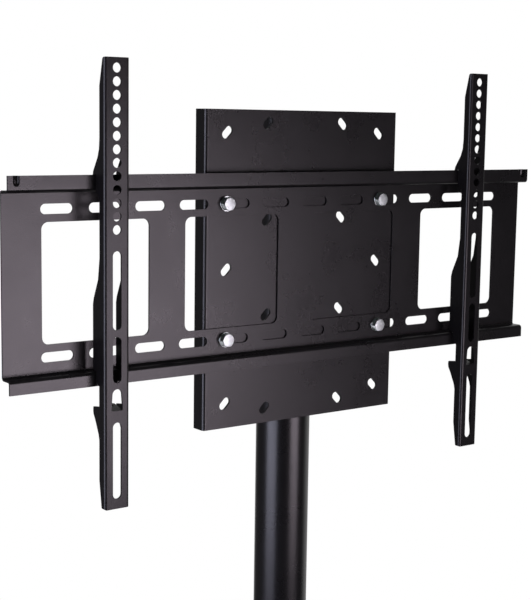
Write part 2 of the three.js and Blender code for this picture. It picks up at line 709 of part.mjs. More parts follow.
function arm() {
  const half = ARM_WIDTH / 2;
  const front = -ARM_FACE;
  const faceBack = front + ARM_SHEET;
  const outside = upright(
    channelPlan(half, front, 0, ARM_BEND_RADIUS),
    ARM_BOTTOM - 5,
    ARM_TOP + 5,
    HALF_BEND,
  );
  const inside = upright(
    channelPlan(half - ARM_SHEET, faceBack, 5, ARM_BEND_RADIUS - ARM_SHEET),
    ARM_BOTTOM - 10,
    ARM_TOP + 10,
    HALF_BEND,
  );
  const face = roundedRectangle(-half, ARM_BOTTOM, half, ARM_TOP, ARM_CORNER);
  let body = sideways(armFlangeProfile(), -half, half)
    .intersect(outside)
    .intersect(frontal(face, front - 1, 1))
    .subtract(inside);
  const cuts = ARM_SLOTS.map(([low, high]) =>
    slotOutline(0, (low + high) / 2, ARM_SLOT_RADIUS, high - low - 2 * ARM_SLOT_RADIUS, Math.PI / 2),
  );
  for (let hole = 0; hole < ARM_HOLE_COUNT; hole += 1) {
    cuts.push(circle(0, ARM_TOP_HOLE - hole * ARM_HOLE_PITCH, ARM_HOLE_RADIUS));
  }
  cuts.push(armWindow());
  cuts.forEach((cut) => {
    body = body.subtract(frontal(cut, front - 1, faceBack + 1, HALF_BEND));
  });
  // The tab bent back and up from the window's foot, with a screw notch in its end.
  const tabTop = ARM_WINDOW_BOTTOM + 0.2;
  const tabHalf = TAB_WIDTH / 2;
  const notch = TAB_NOTCH_WIDTH / 2;
  const plan = outline([
    [-tabHalf, front + 0.5],
    [tabHalf, front + 0.5],
    [tabHalf - 0.6, front + TAB_LENGTH - 2],
    [tabHalf - 2.2, front + TAB_LENGTH],
    [notch, front + TAB_LENGTH],
    [notch, front + TAB_LENGTH - TAB_NOTCH_DEPTH],
    [-notch, front + TAB_LENGTH - TAB_NOTCH_DEPTH],
    [-notch, front + TAB_LENGTH],
    [-tabHalf + 2.2, front + TAB_LENGTH],
    [-tabHalf + 0.6, front + TAB_LENGTH - 2],
  ]);
  const slope = outline([
    [front + 0.5, tabTop - ARM_SHEET],
    [front + TAB_LENGTH, tabTop - ARM_SHEET + TAB_RISE],
    [front + TAB_LENGTH, tabTop + TAB_RISE],
    [front + 0.5, tabTop],
  ]);
  const tab = upright(plan, tabTop - ARM_SHEET - 1, tabTop + TAB_RISE + 1);
  return body.add(tab.intersect(sideways(slope, -tabHalf, tabHalf)));
}

// Stand: base, flange and lower column
const stand = new THREE.Group();
place(stand, "base_plate", basePlate(), blackPowderCoat);
feet.forEach(([corner, x, y]) => {
  place(stand, `rubber_foot_${corner}`, rubberFoot(), blackRubber, [x, y, 0]);
  place(stand, `foot_screw_${corner}`, footScrew(), zincPlate, [x, y, 0]);
});
place(stand, "column_flange", columnFlange(), blackPowderCoat, [0, POLE_Y, BASE_TOP]);
const flangeTop = BASE_TOP + FLANGE_THICKNESS;
const flangeShank = FLANGE_THICKNESS + M10.washerThickness + BASE_THICKNESS - 0.5;
flangeBolts.forEach(([x, y], index) => {
  const at = [x, POLE_Y + y];
  place(stand, `flange_washer_${index + 1}`, washer(M10), zincPlate, [...at, flangeTop]);
  place(
    stand,
    `flange_bolt_${index + 1}`,
    hexBolt(M10, flangeShank),
    zincPlate,
    [...at, flangeTop + M10.washerThickness],
  );
});
const column = new THREE.Group();
column.position.set(0, POLE_Y, 0);
place(column, "lower_column", lowerColumn(), blackPowderCoat);
place(column, "lower_cable_grommet", grommet(COLUMN_RADIUS, COLUMN_WALL, LOWER_OUTLET_Z), blackPlastic);
place(column, "column_guide_bush", columnBush(), blackPlastic);
place(column, "height_clamp_collar", clampCollar(), blackPowderCoat);
const clampShank = 2 * lugOutside + M8.nut + 3;
const clampAt = [lugOutside, lugY, collarMiddleZ];
place(column, "height_clamp_bolt", hexBolt(M8, clampShank), zincPlate, clampAt, [0, Math.PI / 2, 0]);
const clampNutAt = [-lugOutside, lugY, collarMiddleZ];
place(column, "height_clamp_nut", hexNut(M8), zincPlate, clampNutAt, [0, -Math.PI / 2, 0]);

// Pole: the part that slides in the column
place(column, "upper_pole", upperPole(), blackPowderCoat);
place(column, "pole_slide_shoe", poleShoe(), blackPlastic);
place(column, "pole_cap", poleCap(), blackPlastic);
place(column, "upper_cable_grommet", grommet(POLE_RADIUS, POLE_WALL, HEAD_Z), blackPlastic);

// Head: the plate and straps that turn on the pole, around the pole's own middle line in X
const head = new THREE.Group();
head.position.set(0, RAIL_Y, HEAD_Z);
place(head, "head_plate", headPlate(), blackPowderCoat);
const strapNames = ["upper", "lower"];
STRAP_Z.forEach((z, index) => {
  const which = strapNames[index];
  place(head, `${which}_pole_strap`, poleStrap(), blackPowderCoat, [0, 0, z]);
  [["left", -STUD_X], ["right", STUD_X]].forEach(([side, x]) => {
    const at = [x, HEAD_BACK + STRAP_SHEET, z];
    place(head, `${which}_strap_nut_${side}`, hexNut(M8), zincPlate, at, [-Math.PI / 2, 0, 0]);
  });
});

// Rail plate and the bolts that hold it to the head plate
place(head, "rail_plate", railPlate(), blackPowderCoat, [RAIL_OFFSET_X, 0, 0]);
const boltShank = M8.washerThickness + RAIL_SHEET + HEAD_SHEET + M8.nut + 2.5;
[["upper", BOLT_ROW], ["lower", -BOLT_ROW]].forEach(([row, z]) => {
  [["left", -BOLT_SPREAD], ["right", BOLT_SPREAD]].forEach(([side, x]) => {
    const name = `${row}_${side}`;
    place(head, `rail_washer_${name}`, washer(M8), zincPlate, [x, 0, z], [Math.PI / 2, 0, 0]);
    place(
      head,
      `rail_bolt_${name}`,
      hexBolt(M8, boltShank),
      zincPlate,
      [x, -M8.washerThickness, z],
      [Math.PI / 2, 0, 0],
    );
    place(head, `rail_nut_${name}`, hexNut(M8), zincPlate, [x, HEAD_BACK, z], [-Math.PI / 2, 0, 0]);
  });
});

// Arms: each hooks over the rails and slides along them
place(head, "left_arm", arm(), blackPowderCoat, [RAIL_OFFSET_X + LEFT_ARM_X, 0, 0]);
place(head, "right_arm", arm(), blackPowderCoat, [RAIL_OFFSET_X + RIGHT_ARM_X, 0, 0]);

const televisionStand = new THREE.Group();
televisionStand.add(stand, column, head);

export default televisionStand;
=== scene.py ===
# %% [markdown]
# # A floor stand that holds a television
#
# The object is bent and welded steel under black powder coat: a heavy flat base, a column in two
# parts that slide in each other, a folded head plate strapped to the upper part, a long slotted
# rail plate bolted to the head, and two arms that hook over the rails and carry the screen.
#
# The construction is settled already and is loaded here as a fixed frame. Each piece is then made
# again with the fine shapes that steel has, such as bend radii, eased edges, threads and welds,
# in the very place of the plain solid that it stands for.

# %% Load the frame
from math import cos, pi, radians, sin, sqrt

import bmesh
import bpy
from mathutils import Matrix, Vector


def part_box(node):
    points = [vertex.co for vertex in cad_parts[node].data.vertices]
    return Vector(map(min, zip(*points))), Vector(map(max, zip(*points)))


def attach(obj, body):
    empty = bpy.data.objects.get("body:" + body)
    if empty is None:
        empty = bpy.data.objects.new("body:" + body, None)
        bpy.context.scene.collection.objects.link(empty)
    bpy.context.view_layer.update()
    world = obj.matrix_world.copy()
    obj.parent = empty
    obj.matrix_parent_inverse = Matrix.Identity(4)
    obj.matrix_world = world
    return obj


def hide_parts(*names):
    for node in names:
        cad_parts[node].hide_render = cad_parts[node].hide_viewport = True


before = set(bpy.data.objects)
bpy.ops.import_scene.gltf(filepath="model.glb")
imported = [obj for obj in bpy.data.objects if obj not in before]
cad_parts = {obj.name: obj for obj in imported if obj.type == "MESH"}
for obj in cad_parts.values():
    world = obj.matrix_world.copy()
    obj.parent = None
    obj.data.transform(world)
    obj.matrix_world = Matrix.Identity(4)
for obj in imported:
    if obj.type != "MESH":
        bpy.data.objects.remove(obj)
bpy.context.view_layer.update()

# %% [markdown]
# ## The camera
#
# The photograph is taken from the front left with a long lens, a little above the rails. The
# camera's place, its turn and its focal length were worked out from where about 120 corners and
# holes of the mount appear, so the picture and the model can be laid over each other.

# %% Set up the camera
MM = 0.001
PHOTO_WIDTH = 531
FOCAL_PIXELS = 1351.2
SENSOR_WIDTH = 36
CAMERA_PLACE = Vector((-891.2, -1102.1, 1402.6)) * MM
CAMERA_AZIMUTH = radians(36.6)
CAMERA_PITCH = radians(7.72)
CAMERA_ROLL = radians(-0.84)
CENTRE_SHIFT = (1.5, 5.4)

ahead = Vector((
    sin(CAMERA_AZIMUTH) * cos(CAMERA_PITCH),
    cos(CAMERA_AZIMUTH) * cos(CAMERA_PITCH),
    -sin(CAMERA_PITCH),
))
level_right = Vector((cos(CAMERA_AZIMUTH), -sin(CAMERA_AZIMUTH), 0))
level_down = ahead.cross(level_right)
right = level_right * cos(CAMERA_ROLL) + level_down * sin(CAMERA_ROLL)
down = level_down * cos(CAMERA_ROLL) - level_right * sin(CAMERA_ROLL)


def add(name, data):
    """A new object in the scene."""
    thing = bpy.data.objects.new(name, data)
    bpy.context.scene.collection.objects.link(thing)
    return thing


lens = bpy.data.cameras.new("camera")
lens.sensor_fit = "HORIZONTAL"
lens.sensor_width = SENSOR_WIDTH
lens.lens = SENSOR_WIDTH * FOCAL_PIXELS / PHOTO_WIDTH
lens.shift_x = CENTRE_SHIFT[0] / PHOTO_WIDTH
lens.shift_y = CENTRE_SHIFT[1] / PHOTO_WIDTH
camera = add("camera", lens)
camera.matrix_world = (
    Matrix.Translation(CAMERA_PLACE) @ Matrix((right, -down, -ahead)).transposed().to_4x4()
)
bpy.context.scene.camera = camera
print("lens of", round(lens.lens, 1), "mm at", [round(v, 3) for v in camera.location])

# %% [markdown]
# ## Making solids
#
# Bent sheet is an outline with arcs at its bends, thickened along one axis. Tubes, washers and
# feet are outlines turned about an axis. These two helpers make nearly every piece, and holes and
# trims are cut out of them with Boolean modifiers, as a punch and a saw would.

# %% Outlines and solids
def arc(centre, radius, start, end, steps=8):
    """Points on an arc, from the start angle to the end angle in degrees."""
    points = []
    for step in range(steps + 1):
        angle = radians(start + (end - start) * step / steps)
        points.append((centre[0] + radius * cos(angle), centre[1] + radius * sin(angle)))
    return points


def rectangle(left, low, right_edge, high):
    """The outline of a rectangle with sharp corners."""
    return [(left, low), (right_edge, low), (right_edge, high), (left, high)]


def rounded_rectangle(left, low, right_edge, high, radius, steps=8):
    """The outline of a rectangle with round corners."""
    return (
        arc((right_edge - radius, low + radius), radius, -90, 0, steps)
        + arc((right_edge - radius, high - radius), radius, 0, 90, steps)
        + arc((left + radius, high - radius), radius, 90, 180, steps)
        + arc((left + radius, low + radius), radius, 180, 270, steps)
    )


def upright_slot(middle, width, height, steps=16):
    """The outline of a slot with round ends."""
    radius = width / 2
    reach = height / 2 - radius
    return (
        arc((middle[0], middle[1] + reach), radius, 0, 180, steps)
        + arc((middle[0], middle[1] - reach), radius, 180, 360, steps)
    )


SAME_POINT = 0.001 * MM


def from_bmesh(name, made):
    """A bmesh as an object in the scene."""
    mesh = bpy.data.meshes.new(name)
    made.to_mesh(mesh)
    made.free()
    return add(name, mesh)


def as_solid(name, made):
    """A bmesh as an object in the scene, closed and with its faces pointing out."""
    bmesh.ops.remove_doubles(made, verts=made.verts, dist=SAME_POINT)
    bmesh.ops.recalc_face_normals(made, faces=made.faces)
    return from_bmesh(name, made)


ALONG = {
    "X": lambda a, b, t: (t, a, b),
    "Y": lambda a, b, t: (a, t, b),
    "Z": lambda a, b, t: (a, b, t),
}


def prism(name, points, along, low, high):
    """An outline in the two other axes, thickened along one axis from low to high."""
    spot = ALONG[along]
    made = bmesh.new()
    near = [made.verts.new(spot(a, b, low)) for a, b in points]
    far = [made.verts.new(spot(a, b, high)) for a, b in points]
    made.faces.new(near)
    made.faces.new(far)
    for i in range(len(points)):
        j = (i + 1) % len(points)
        made.faces.new((near[i], near[j], far[j], far[i]))
    return as_solid(name, made)


def ringed(name, outlines, centre):
    """Closed outlines of radius and height pairs, set around an upright axis and joined up."""
    made = bmesh.new()
    rings = []
    for k, outline in enumerate(outlines):
        angle = 2 * pi * k / len(outlines)
        rings.append([
            made.verts.new((centre[0] + r * cos(angle), centre[1] + r * sin(angle), z))
            for r, z in outline
        ])
    for one, other in zip(rings, rings[1:] + rings[:1]):
        for i in range(len(one)):
            j = (i + 1) % len(one)
            made.faces.new((one[i], one[j], other[j], other[i]))
    return as_solid(name, made)


def turned(name, profile, centre=(0, 0), segments=96):
    """A closed outline of radius and height pairs, turned about an upright axis."""
    return ringed(name, [profile] * segments, centre)


print("a bend of 8 steps has", len(arc((0, 0), 1, 0, 90)), "points")

# %% Cutting, joining and finishing
PAST = 10 * MM
SHARP_EDGE = radians(35)
STEEL_EDGE = 0.4 * MM
PLASTIC_EDGE = 0.3 * MM


def settle(piece):
    """Replaces a piece's mesh by what its modifiers make of it."""
    depsgraph = bpy.context.evaluated_depsgraph_get()
    ready = piece.evaluated_get(depsgraph)
    mesh = bpy.data.meshes.new_from_object(
        ready, preserve_all_data_layers=True, depsgraph=depsgraph
    )
    piece.modifiers.clear()
    piece.data = mesh
    return piece


def combine(piece, operation, *tools):
    """Cuts a piece by other solids, joins it to them, or keeps what they share."""
    for tool in tools:
        boolean = piece.modifiers.new(operation.lower(), "BOOLEAN")
        boolean.operation = operation
        boolean.solver = "EXACT"
        boolean.object = tool
    settle(piece)
    for tool in tools:
        bpy.data.objects.remove(tool)
    return piece


def joined(name, *pieces):
    """Several meshes as one object."""
    made = bmesh.new()
    for piece in pieces:
        made.from_mesh(piece.data)
        bpy.data.objects.remove(piece)
    return from_bmesh(name, made)


def placed(piece, place, angle, axis):
    """Turns a piece about an axis through the origin, then moves it to its place."""
    piece.data.transform(Matrix.Translation(place) @ Matrix.Rotation(angle, 4, axis))
    return piece


def flat_faces(piece):
    """Lets the large faces set the normals, so that flat faces are lit as flat."""
    normals = piece.modifiers.new("flat_faces", "WEIGHTED_NORMAL")
    normals.keep_sharp = False
    return settle(piece)


def ease_edges(piece, width, segments=2):
    """Rounds the sharp edges, as deburring and paint do, and keeps the flat faces flat."""
    piece.data.shade_smooth()
    bevel = piece.modifiers.new("eased_edges", "BEVEL")
    bevel.width = width
    bevel.segments = segments
    bevel.limit_method = "ANGLE"
    bevel.angle_limit = SHARP_EDGE
    return flat_faces(piece)


def dress(piece, body, material, slot, *nodes):
    """Gives a finished piece its material and its place in the frame."""
    piece.data.materials.clear()
    piece.data.materials.append(material)
    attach(piece, body)
    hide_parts(*nodes)
    print(piece.name, "on", body, "with", len(piece.data.polygons), "faces")
    return piece


print("solids can be cut, joined and finished")

# %% [markdown]
# ## Finishes
#
# Four finishes cover the whole stand: black powder coat on the steel, bright zinc on the
# fasteners, moulded plastic and rubber. Two of them come twice: the arms' coat is a little duller
# than the rest, and punched washers are smoother than forged heads and nuts. Powder coat melts
# into a skin with a very fine orange peel and a satin gloss that is never quite even. Grain and
# unevenness turn up in all of them, so each is a node group that the materials share with their
# own values.

# %% Shader groups: fine grain and uneven gloss
def fill(made, values):
    """Sets the values of a node's inputs, by their names or numbers."""
    for entry, value in values.items():
        made.inputs[entry].default_value = value
    return made


def node(tree, kind, values=None, **settings):
    """A node in a tree, with its properties and the values of its inputs set."""
    made = tree.nodes.new(kind)
    for name, value in settings.items():
        setattr(made, name, value)
    return fill(made, values or {})


def chain(tree, *links):
    """Links nodes: each link is a node and its output, then the next node and its input."""
    for source, output, target, entry in links:
        tree.links.new(source.outputs[output], target.inputs[entry])


def node_group(name, kind, inputs, outputs):
    """An empty node group, whose inputs and outputs are given as titles with their kinds."""
    group = bpy.data.node_groups.new(name, kind)
    for way, sockets in (("INPUT", inputs), ("OUTPUT", outputs)):
        for title, socket in sockets.items():
            group.interface.new_socket(title, in_out=way, socket_type="NodeSocket" + socket)
    return group, node(group, "NodeGroupInput"), node(group, "NodeGroupOutput")


def sized_noise(group, given, title, **values):
    """Cloudy noise in a piece's own space, as coarse as the group's input of that title says."""
    place = node(group, "ShaderNodeTexCoord")
    scale = node(group, "ShaderNodeMath", {0: 1.0}, operation="DIVIDE")
    noise = node(group, "ShaderNodeTexNoise", values)
    chain(
        group,
        (given, title, scale, 1),
        (place, "Object", noise, "Vector"),
        (scale, 0, noise, "Scale"),
    )
    return noise


def grain_group():
    """Small raised grains over softer, wider waves, as a height."""
    group, given, result = node_group(
        "fine_grain", "ShaderNodeTree",
        {"Grain Size": "Float", "Wave Size": "Float", "Waves": "Float"}, {"Height": "Float"},
    )
    total = node(group, "ShaderNodeMath", operation="MULTIPLY_ADD")
    grains = sized_noise(group, given, "Grain Size", Detail=2.0)
    waves = sized_noise(group, given, "Wave Size", Detail=1.0)
    chain(
        group,
        (waves, "Fac", total, 0),
        (given, "Waves", total, 1),
        (grains, "Fac", total, 2),
        (total, 0, result, "Height"),
    )
    return group


def unevenness_group():
    """A slow drift between a low and a high value, with faint cloudy patches in it."""
    group, given, result = node_group(
        "uneven_value", "ShaderNodeTree",
        {"Patch Size": "Float", "Low": "Float", "High": "Float"}, {"Value": "Float"},
    )
    clouds = sized_noise(group, given, "Patch Size", Detail=5.0, Roughness=0.6)
    spread = node(group, "ShaderNodeMapRange", {"From Min": 0.3, "From Max": 0.7})
    chain(
        group,
        (clouds, "Fac", spread, "Value"),
        (given, "Low", spread, "To Min"),
        (given, "High", spread, "To Max"),
        (spread, "Result", result, "Value"),
    )
    return group


fine_grain = grain_group()
uneven_value = unevenness_group()
print("shader groups:", fine_grain.name, "and", uneven_value.name)

# %% The materials
COLOUR_PATCHES = 1.7
WAVES_PER_GRAIN = 6
RELIEF_PER_GRAIN = 0.25
WAVES = 0.5
BLACK = ((0.0036, 0.0032, 0.0037), (0.0050, 0.0045, 0.0051))


def finish(name, tones, gloss, grain, bump, metallic=0.0, specular=0.5, patches=0.05):
    """A material between two tones, with uneven gloss and a grained surface."""
    material = bpy.data.materials.new(name)
    material.use_nodes = True
    tree = material.node_tree
    surface = fill(
        tree.nodes["Principled BSDF"], {"Metallic": metallic, "Specular IOR Level": specular}
    )
    shade = node(
        tree, "ShaderNodeGroup", {"Patch Size": patches * COLOUR_PATCHES, "Low": 0.0, "High": 1.0},
        node_tree=uneven_value,
    )
    colour = node(
        tree, "ShaderNodeMix", {"A": (*tones[0], 1), "B": (*tones[1], 1)}, data_type="RGBA"
    )
    rough = node(
        tree, "ShaderNodeGroup", {"Patch Size": patches, "Low": gloss[0], "High": gloss[1]},
        node_tree=uneven_value,
    )
    height = node(
        tree, "ShaderNodeGroup",
        {"Grain Size": grain, "Wave Size": grain * WAVES_PER_GRAIN, "Waves": WAVES},
        node_tree=fine_grain,
    )
    relief = node(
        tree, "ShaderNodeBump", {"Strength": bump, "Distance": grain * RELIEF_PER_GRAIN}
    )
    chain(
        tree,
        (shade, "Value", colour, "Factor"),
        (colour, "Result", surface, "Base Color"),
        (rough, "Value", surface, "Roughness"),
        (height, "Height", relief, "Height"),
        (relief, "Normal", surface, "Normal"),
    )
    return material


powder_coat = finish(
    "black_powder_coat", BLACK, gloss=(0.26, 0.31), grain=0.0011, bump=0.25, specular=0.5
)
arm_coat = finish(
    "black_arm_coat", BLACK, gloss=(0.27, 0.32), grain=0.0011, bump=0.25, specular=0.36
)
zinc = finish(
    "zinc_plate",
    tones=((0.50, 0.56, 0.54), (0.74, 0.80, 0.78)),
    gloss=(0.30, 0.48),
    grain=0.0006,
    bump=0.5,
    metallic=1.0,
    patches=0.002,
)
smooth_zinc = finish(
    "smooth_zinc_plate",
    tones=((0.54, 0.60, 0.58), (0.70, 0.76, 0.74)),
    gloss=(0.11, 0.17),
    grain=0.0006,
    bump=0.1,
    metallic=1.0,
    patches=0.003,
)
plastic = finish(
    "black_plastic",
    tones=((0.012, 0.012, 0.013), (0.018, 0.018, 0.019)),
    gloss=(0.45, 0.58),
    grain=0.0009,
    bump=0.4,
)
rubber = finish(
    "black_rubber",
    tones=((0.010, 0.010, 0.010), (0.018, 0.018, 0.017)),
    gloss=(0.70, 0.85),
    grain=0.0007,
    bump=0.5,
    specular=0.3,
)
coats = (powder_coat, arm_coat, zinc, smooth_zinc, plastic, rubber)
print("materials:", ", ".join(coat.name for coat in coats))

# %% [markdown]
# ## Holes in rows
#
# The rail plate has two rows of twelve slots, the head plate four columns of slanted ovals and
# each arm a row of thirteen holes. One Geometry Nodes tree makes them all: it draws a rounded
# rectangle, which is a slot or a round hole when its corners are as round as they can be, sets
# copies of it along a line and punches them through the sheet.

# %% Geometry Nodes: a row of cut-outs
CORNER_POINTS = 8
MERGE_WITHIN = 0.01 * MM


def cutout_row_tree():
    """Punches a row of rounded rectangles through a sheet."""
    tree, given, result = node_group(
        "cutout_row", "GeometryNodeTree",
        {"Mesh": "Geometry", "Start": "Vector", "Step": "Vector", "Count": "Int", "Width": "Float",
         "Height": "Float", "Corner Radius": "Float", "Turn": "Vector", "Depth": "Float",
         "Material": "Material"},
        {"Mesh": "Geometry"},
    )
    rectangular = node(tree, "GeometryNodeCurvePrimitiveQuadrilateral")
    corners = node(
        tree, "GeometryNodeFilletCurve", {"Count": CORNER_POINTS, "Limit Radius": True}, mode="POLY"
    )
    flat = node(tree, "GeometryNodeFillCurve", mode="NGONS")
    clean = node(tree, "GeometryNodeMergeByDistance", {"Distance": MERGE_WITHIN})
    punch = node(tree, "GeometryNodeExtrudeMesh", {"Individual": False})
    upwards = node(tree, "ShaderNodeCombineXYZ")
    under = node(tree, "GeometryNodeFlipFaces")
    both = node(tree, "GeometryNodeJoinGeometry")
    closed = node(tree, "GeometryNodeMergeByDistance", {"Distance": MERGE_WITHIN})
    half = node(tree, "ShaderNodeMath", {1: -0.5}, operation="MULTIPLY")
    drop = node(tree, "ShaderNodeCombineXYZ")
    centred = node(tree, "GeometryNodeTransform")
    line = node(tree, "GeometryNodeMeshLine", mode="OFFSET")
    copies = node(tree, "GeometryNodeInstanceOnPoints")
    solid_copies = node(tree, "GeometryNodeRealizeInstances")
    cut = node(tree, "GeometryNodeMeshBoolean", operation="DIFFERENCE", solver="EXACT")
    plain = node(tree, "GeometryNodeRealizeInstances")
    paint = node(tree, "GeometryNodeSetMaterial")
    chain(
        tree,
        (given, "Width", rectangular, "Width"),
        (given, "Height", rectangular, "Height"),
        (rectangular, "Curve", corners, "Curve"),
        (given, "Corner Radius", corners, "Radius"),
        (corners, "Curve", flat, "Curve"),
        (flat, "Mesh", clean, "Geometry"),
        (clean, "Geometry", punch, "Mesh"),
        (given, "Depth", upwards, "Z"),
        (upwards, "Vector", punch, "Offset"),
        (clean, "Geometry", under, "Mesh"),
        (punch, "Mesh", both, "Geometry"),
        (under, "Mesh", both, "Geometry"),
        (both, "Geometry", closed, "Geometry"),
        (given, "Depth", half, 0),
        (half, 0, drop, "Z"),
        (closed, "Geometry", centred, "Geometry"),
        (drop, "Vector", centred, "Translation"),
        (given, "Count", line, "Count"),
        (given, "Start", line, "Start Location"),
        (given, "Step", line, "Offset"),
        (line, "Mesh", copies, "Points"),
        (centred, "Geometry", copies, "Instance"),
        (given, "Turn", copies, "Rotation"),
        (copies, "Instances", solid_copies, "Geometry"),
        (given, "Mesh", cut, "Mesh 1"),
        (solid_copies, "Geometry", cut, "Mesh 2"),
        (cut, "Mesh", plain, "Geometry"),
        (plain, "Geometry", paint, "Geometry"),
        (given, "Material", paint, "Material"),
        (paint, "Geometry", result, "Mesh"),
    )
    return tree


def run_tree(piece, tree, **values):
    """Runs a geometry tree on a piece, with its inputs set by their identifiers."""
    identifiers = {
        item.name.replace(" ", "_").lower(): item.identifier
        for item in tree.interface.items_tree
        if item.in_out == "INPUT"
    }
    modifier = piece.modifiers.new(tree.name, "NODES")
    modifier.node_group = tree
    for name, value in values.items():
        modifier[identifiers[name]] = value
    return settle(piece)


TO_FRONT = (pi / 2, 0, 0)
UPRIGHT = (0, 0, 0)
PUNCH_DEPTH = 12 * MM
cutout_row = cutout_row_tree()


def punch_row(piece, start, step, count, width, height, corner=None, turn=TO_FRONT,
              depth=PUNCH_DEPTH):
    """Punches a row of cut-outs, with ends as round as they can be unless a corner is given."""
    return run_tree(
        piece, cutout_row, start=start, step=step, count=count, width=width, height=height,
        corner_radius=corner or min(width, height) / 2, turn=turn, depth=depth,
        material=powder_coat,
    )


print("the tree", cutout_row.name, "has", len(cutout_row.nodes), "nodes")

# %% [markdown]
# ## The rail plate
#
# This long plate is one sheet of 2 mm steel. Its top and bottom edges step forward and then turn
# away from the middle, so that they make two lips. The arms hook over the top one and lean on
# the bottom one. Near each end the top lip is pressed back into a small dent that stops an arm
# from sliding off.
#
# Its section is drawn once, with real bend radii that catch the light as thin bright lines, and
# drawn out over the whole length. Then the slots and the four windows are punched.

# %% The section of the rail plate
rail_low, rail_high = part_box("rail_plate")
RAIL_SHEET = 2 * MM
RAIL_BEND = 3.5 * MM
RAIL_X = (rail_low.x + rail_high.x) / 2
RAIL_FRONT = rail_high.y - RAIL_SHEET
LIP_STEP = 14.4 * MM
LIP_FRONT = RAIL_FRONT - LIP_STEP
HEAD_Z = 1250 * MM
WEB = 88 * MM


def rail_section():
    """The stepped section of the rail plate, as points in Y and Z."""
    sheet, bend = RAIL_SHEET, RAIL_BEND
    inner = bend - sheet
    low_web = HEAD_Z - WEB
    high_web = HEAD_Z + WEB
    corner_y = LIP_FRONT + bend
    back_y = rail_high.y - bend
    return (
        [(LIP_FRONT, rail_low.z), (LIP_FRONT + sheet, rail_low.z)]
        + arc((corner_y, low_web - inner), inner, 180, 90, 6)
        + arc((back_y, low_web + bend), bend, -90, 0)
        + arc((back_y, high_web - bend), bend, 0, 90)
        + arc((corner_y, high_web + inner), inner, -90, -180, 6)
        + [(LIP_FRONT + sheet, rail_high.z), (LIP_FRONT, rail_high.z)]
        + arc((corner_y, high_web + inner), bend, 180, 270)
        + arc((back_y, high_web - bend), inner, 90, 0, 6)
        + arc((back_y, low_web + bend), inner, 0, -90, 6)
        + arc((corner_y, low_web - inner), bend, 90, 180)
    )


print("the section has", len(rail_section()), "points")

# %% The rail plate
SLOT_COUNT = 12
SLOT_PITCH = 51.2 * MM
SLOT_LENGTH = 34.2 * MM
SLOT_HEIGHT = 9.7 * MM
SLOT_ROW = 69.9 * MM
WINDOW_HEIGHT = 115.4 * MM
WINDOW_CORNER = 7 * MM
WINDOWS = ((80 * MM, 116.6 * MM), (239 * MM, 117.4 * MM))
STOP_X = 329.8 * MM
STOP_RADIUS = 3.4 * MM
STOP_HEIGHT = 10 * MM
STOP_WALL = 1.6 * MM
STOP_AXIS = 0.5 * MM
STOP_OVER = 2 * MM
STOP_UNDER = 3 * MM
STOP_ASIDE = 8 * MM
STOP_BEHIND = 12 * MM


def dent(name, x, radius, height, over):
    """The round-ended shape of a pressed stop, from its foot to the lip's top edge or over it."""
    foot = rail_high.z - height + radius
    top = rail_high.z + over
    profile = arc((0, foot), radius, -90, 0, 10) + [(radius, top), (0, top)]
    return turned(name, profile, (x, LIP_FRONT - STOP_AXIS), 64)


def rail_plate():
    """The slotted sheet with its windows and the stops at the ends of its top lip."""
    plate = prism("rail_plate_sheet", rail_section(), "X", rail_low.x, rail_high.x)
    first = RAIL_X - SLOT_PITCH * (SLOT_COUNT - 1) / 2
    for row in (SLOT_ROW, -SLOT_ROW):
        start = (first, RAIL_FRONT, HEAD_Z + row)
        punch_row(plate, start, (SLOT_PITCH, 0, 0), SLOT_COUNT, SLOT_LENGTH, SLOT_HEIGHT)
    for middle, width in WINDOWS:
        start = (RAIL_X - middle, RAIL_FRONT, HEAD_Z)
        punch_row(plate, start, (2 * middle, 0, 0), 2, width, WINDOW_HEIGHT, WINDOW_CORNER)
    ease_edges(plate, 0.12 * MM)
    below = rail_high.z - STOP_HEIGHT - STOP_UNDER
    for x in (RAIL_X - STOP_X, RAIL_X + STOP_X):
        bump = dent("bump", x, STOP_RADIUS + STOP_WALL, STOP_HEIGHT + STOP_WALL, 0)
        room = rectangle(x - STOP_ASIDE, below, x + STOP_ASIDE, rail_high.z + STOP_OVER)
        behind = prism("behind_lip", room, "Y", LIP_FRONT + STOP_AXIS, LIP_FRONT + STOP_BEHIND)
        combine(bump, "INTERSECT", behind)
        combine(plate, "UNION", bump)
        combine(plate, "DIFFERENCE", dent("scoop", x, STOP_RADIUS, STOP_HEIGHT, STOP_OVER))
    return flat_faces(plate)


dress(rail_plate(), "head", powder_coat, "black_powder_coat", "rail_plate")

# %% [markdown]
# ## The head plate and its straps
#
# Behind the rail plate sits an upright plate of 2.5 mm steel, folded back at its two sides. Its
# slanted oval holes let other brackets be bolted on at many spacings. Two straps around the pole
# pull it tight, on studs that are welded to its back.

# %% The head plate
head_low, head_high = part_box("head_plate")
HEAD_SHEET = 2.5 * MM
HEAD_BEND = 3.5 * MM
HEAD_FRONT = head_low.y
HEAD_BACK = HEAD_FRONT + HEAD_SHEET
HEAD_DEPTH = 17.8 * MM
HEAD_HOLES_Z = HEAD_Z + 2 * MM
OVAL_WIDTH = 8.6 * MM
OVAL_LENGTH = 14.6 * MM
OVAL_COLUMNS = ((101.3 * MM, 5, 70 * MM), (50 * MM, 4, 100 * MM))
STUD_X = 46 * MM
STUD_RADIUS = 4 * MM
STRAP_ROWS = (HEAD_Z + 100 * MM, HEAD_Z - 100 * MM)


def threaded_profile(radius, low, high, pitch=1.25 * MM, depth=0.55 * MM):
    """Radius and height pairs of a screw thread, from low to high."""
    turns = int((high - low) / pitch)
    profile = [(0, low), (radius - depth, low)]
    for turn in range(turns):
        foot = low + turn * pitch
        profile.append((radius, foot + pitch * 0.5))
        profile.append((radius - depth, foot + pitch))
    profile += [(radius - depth, high), (0, high)]
    return profile


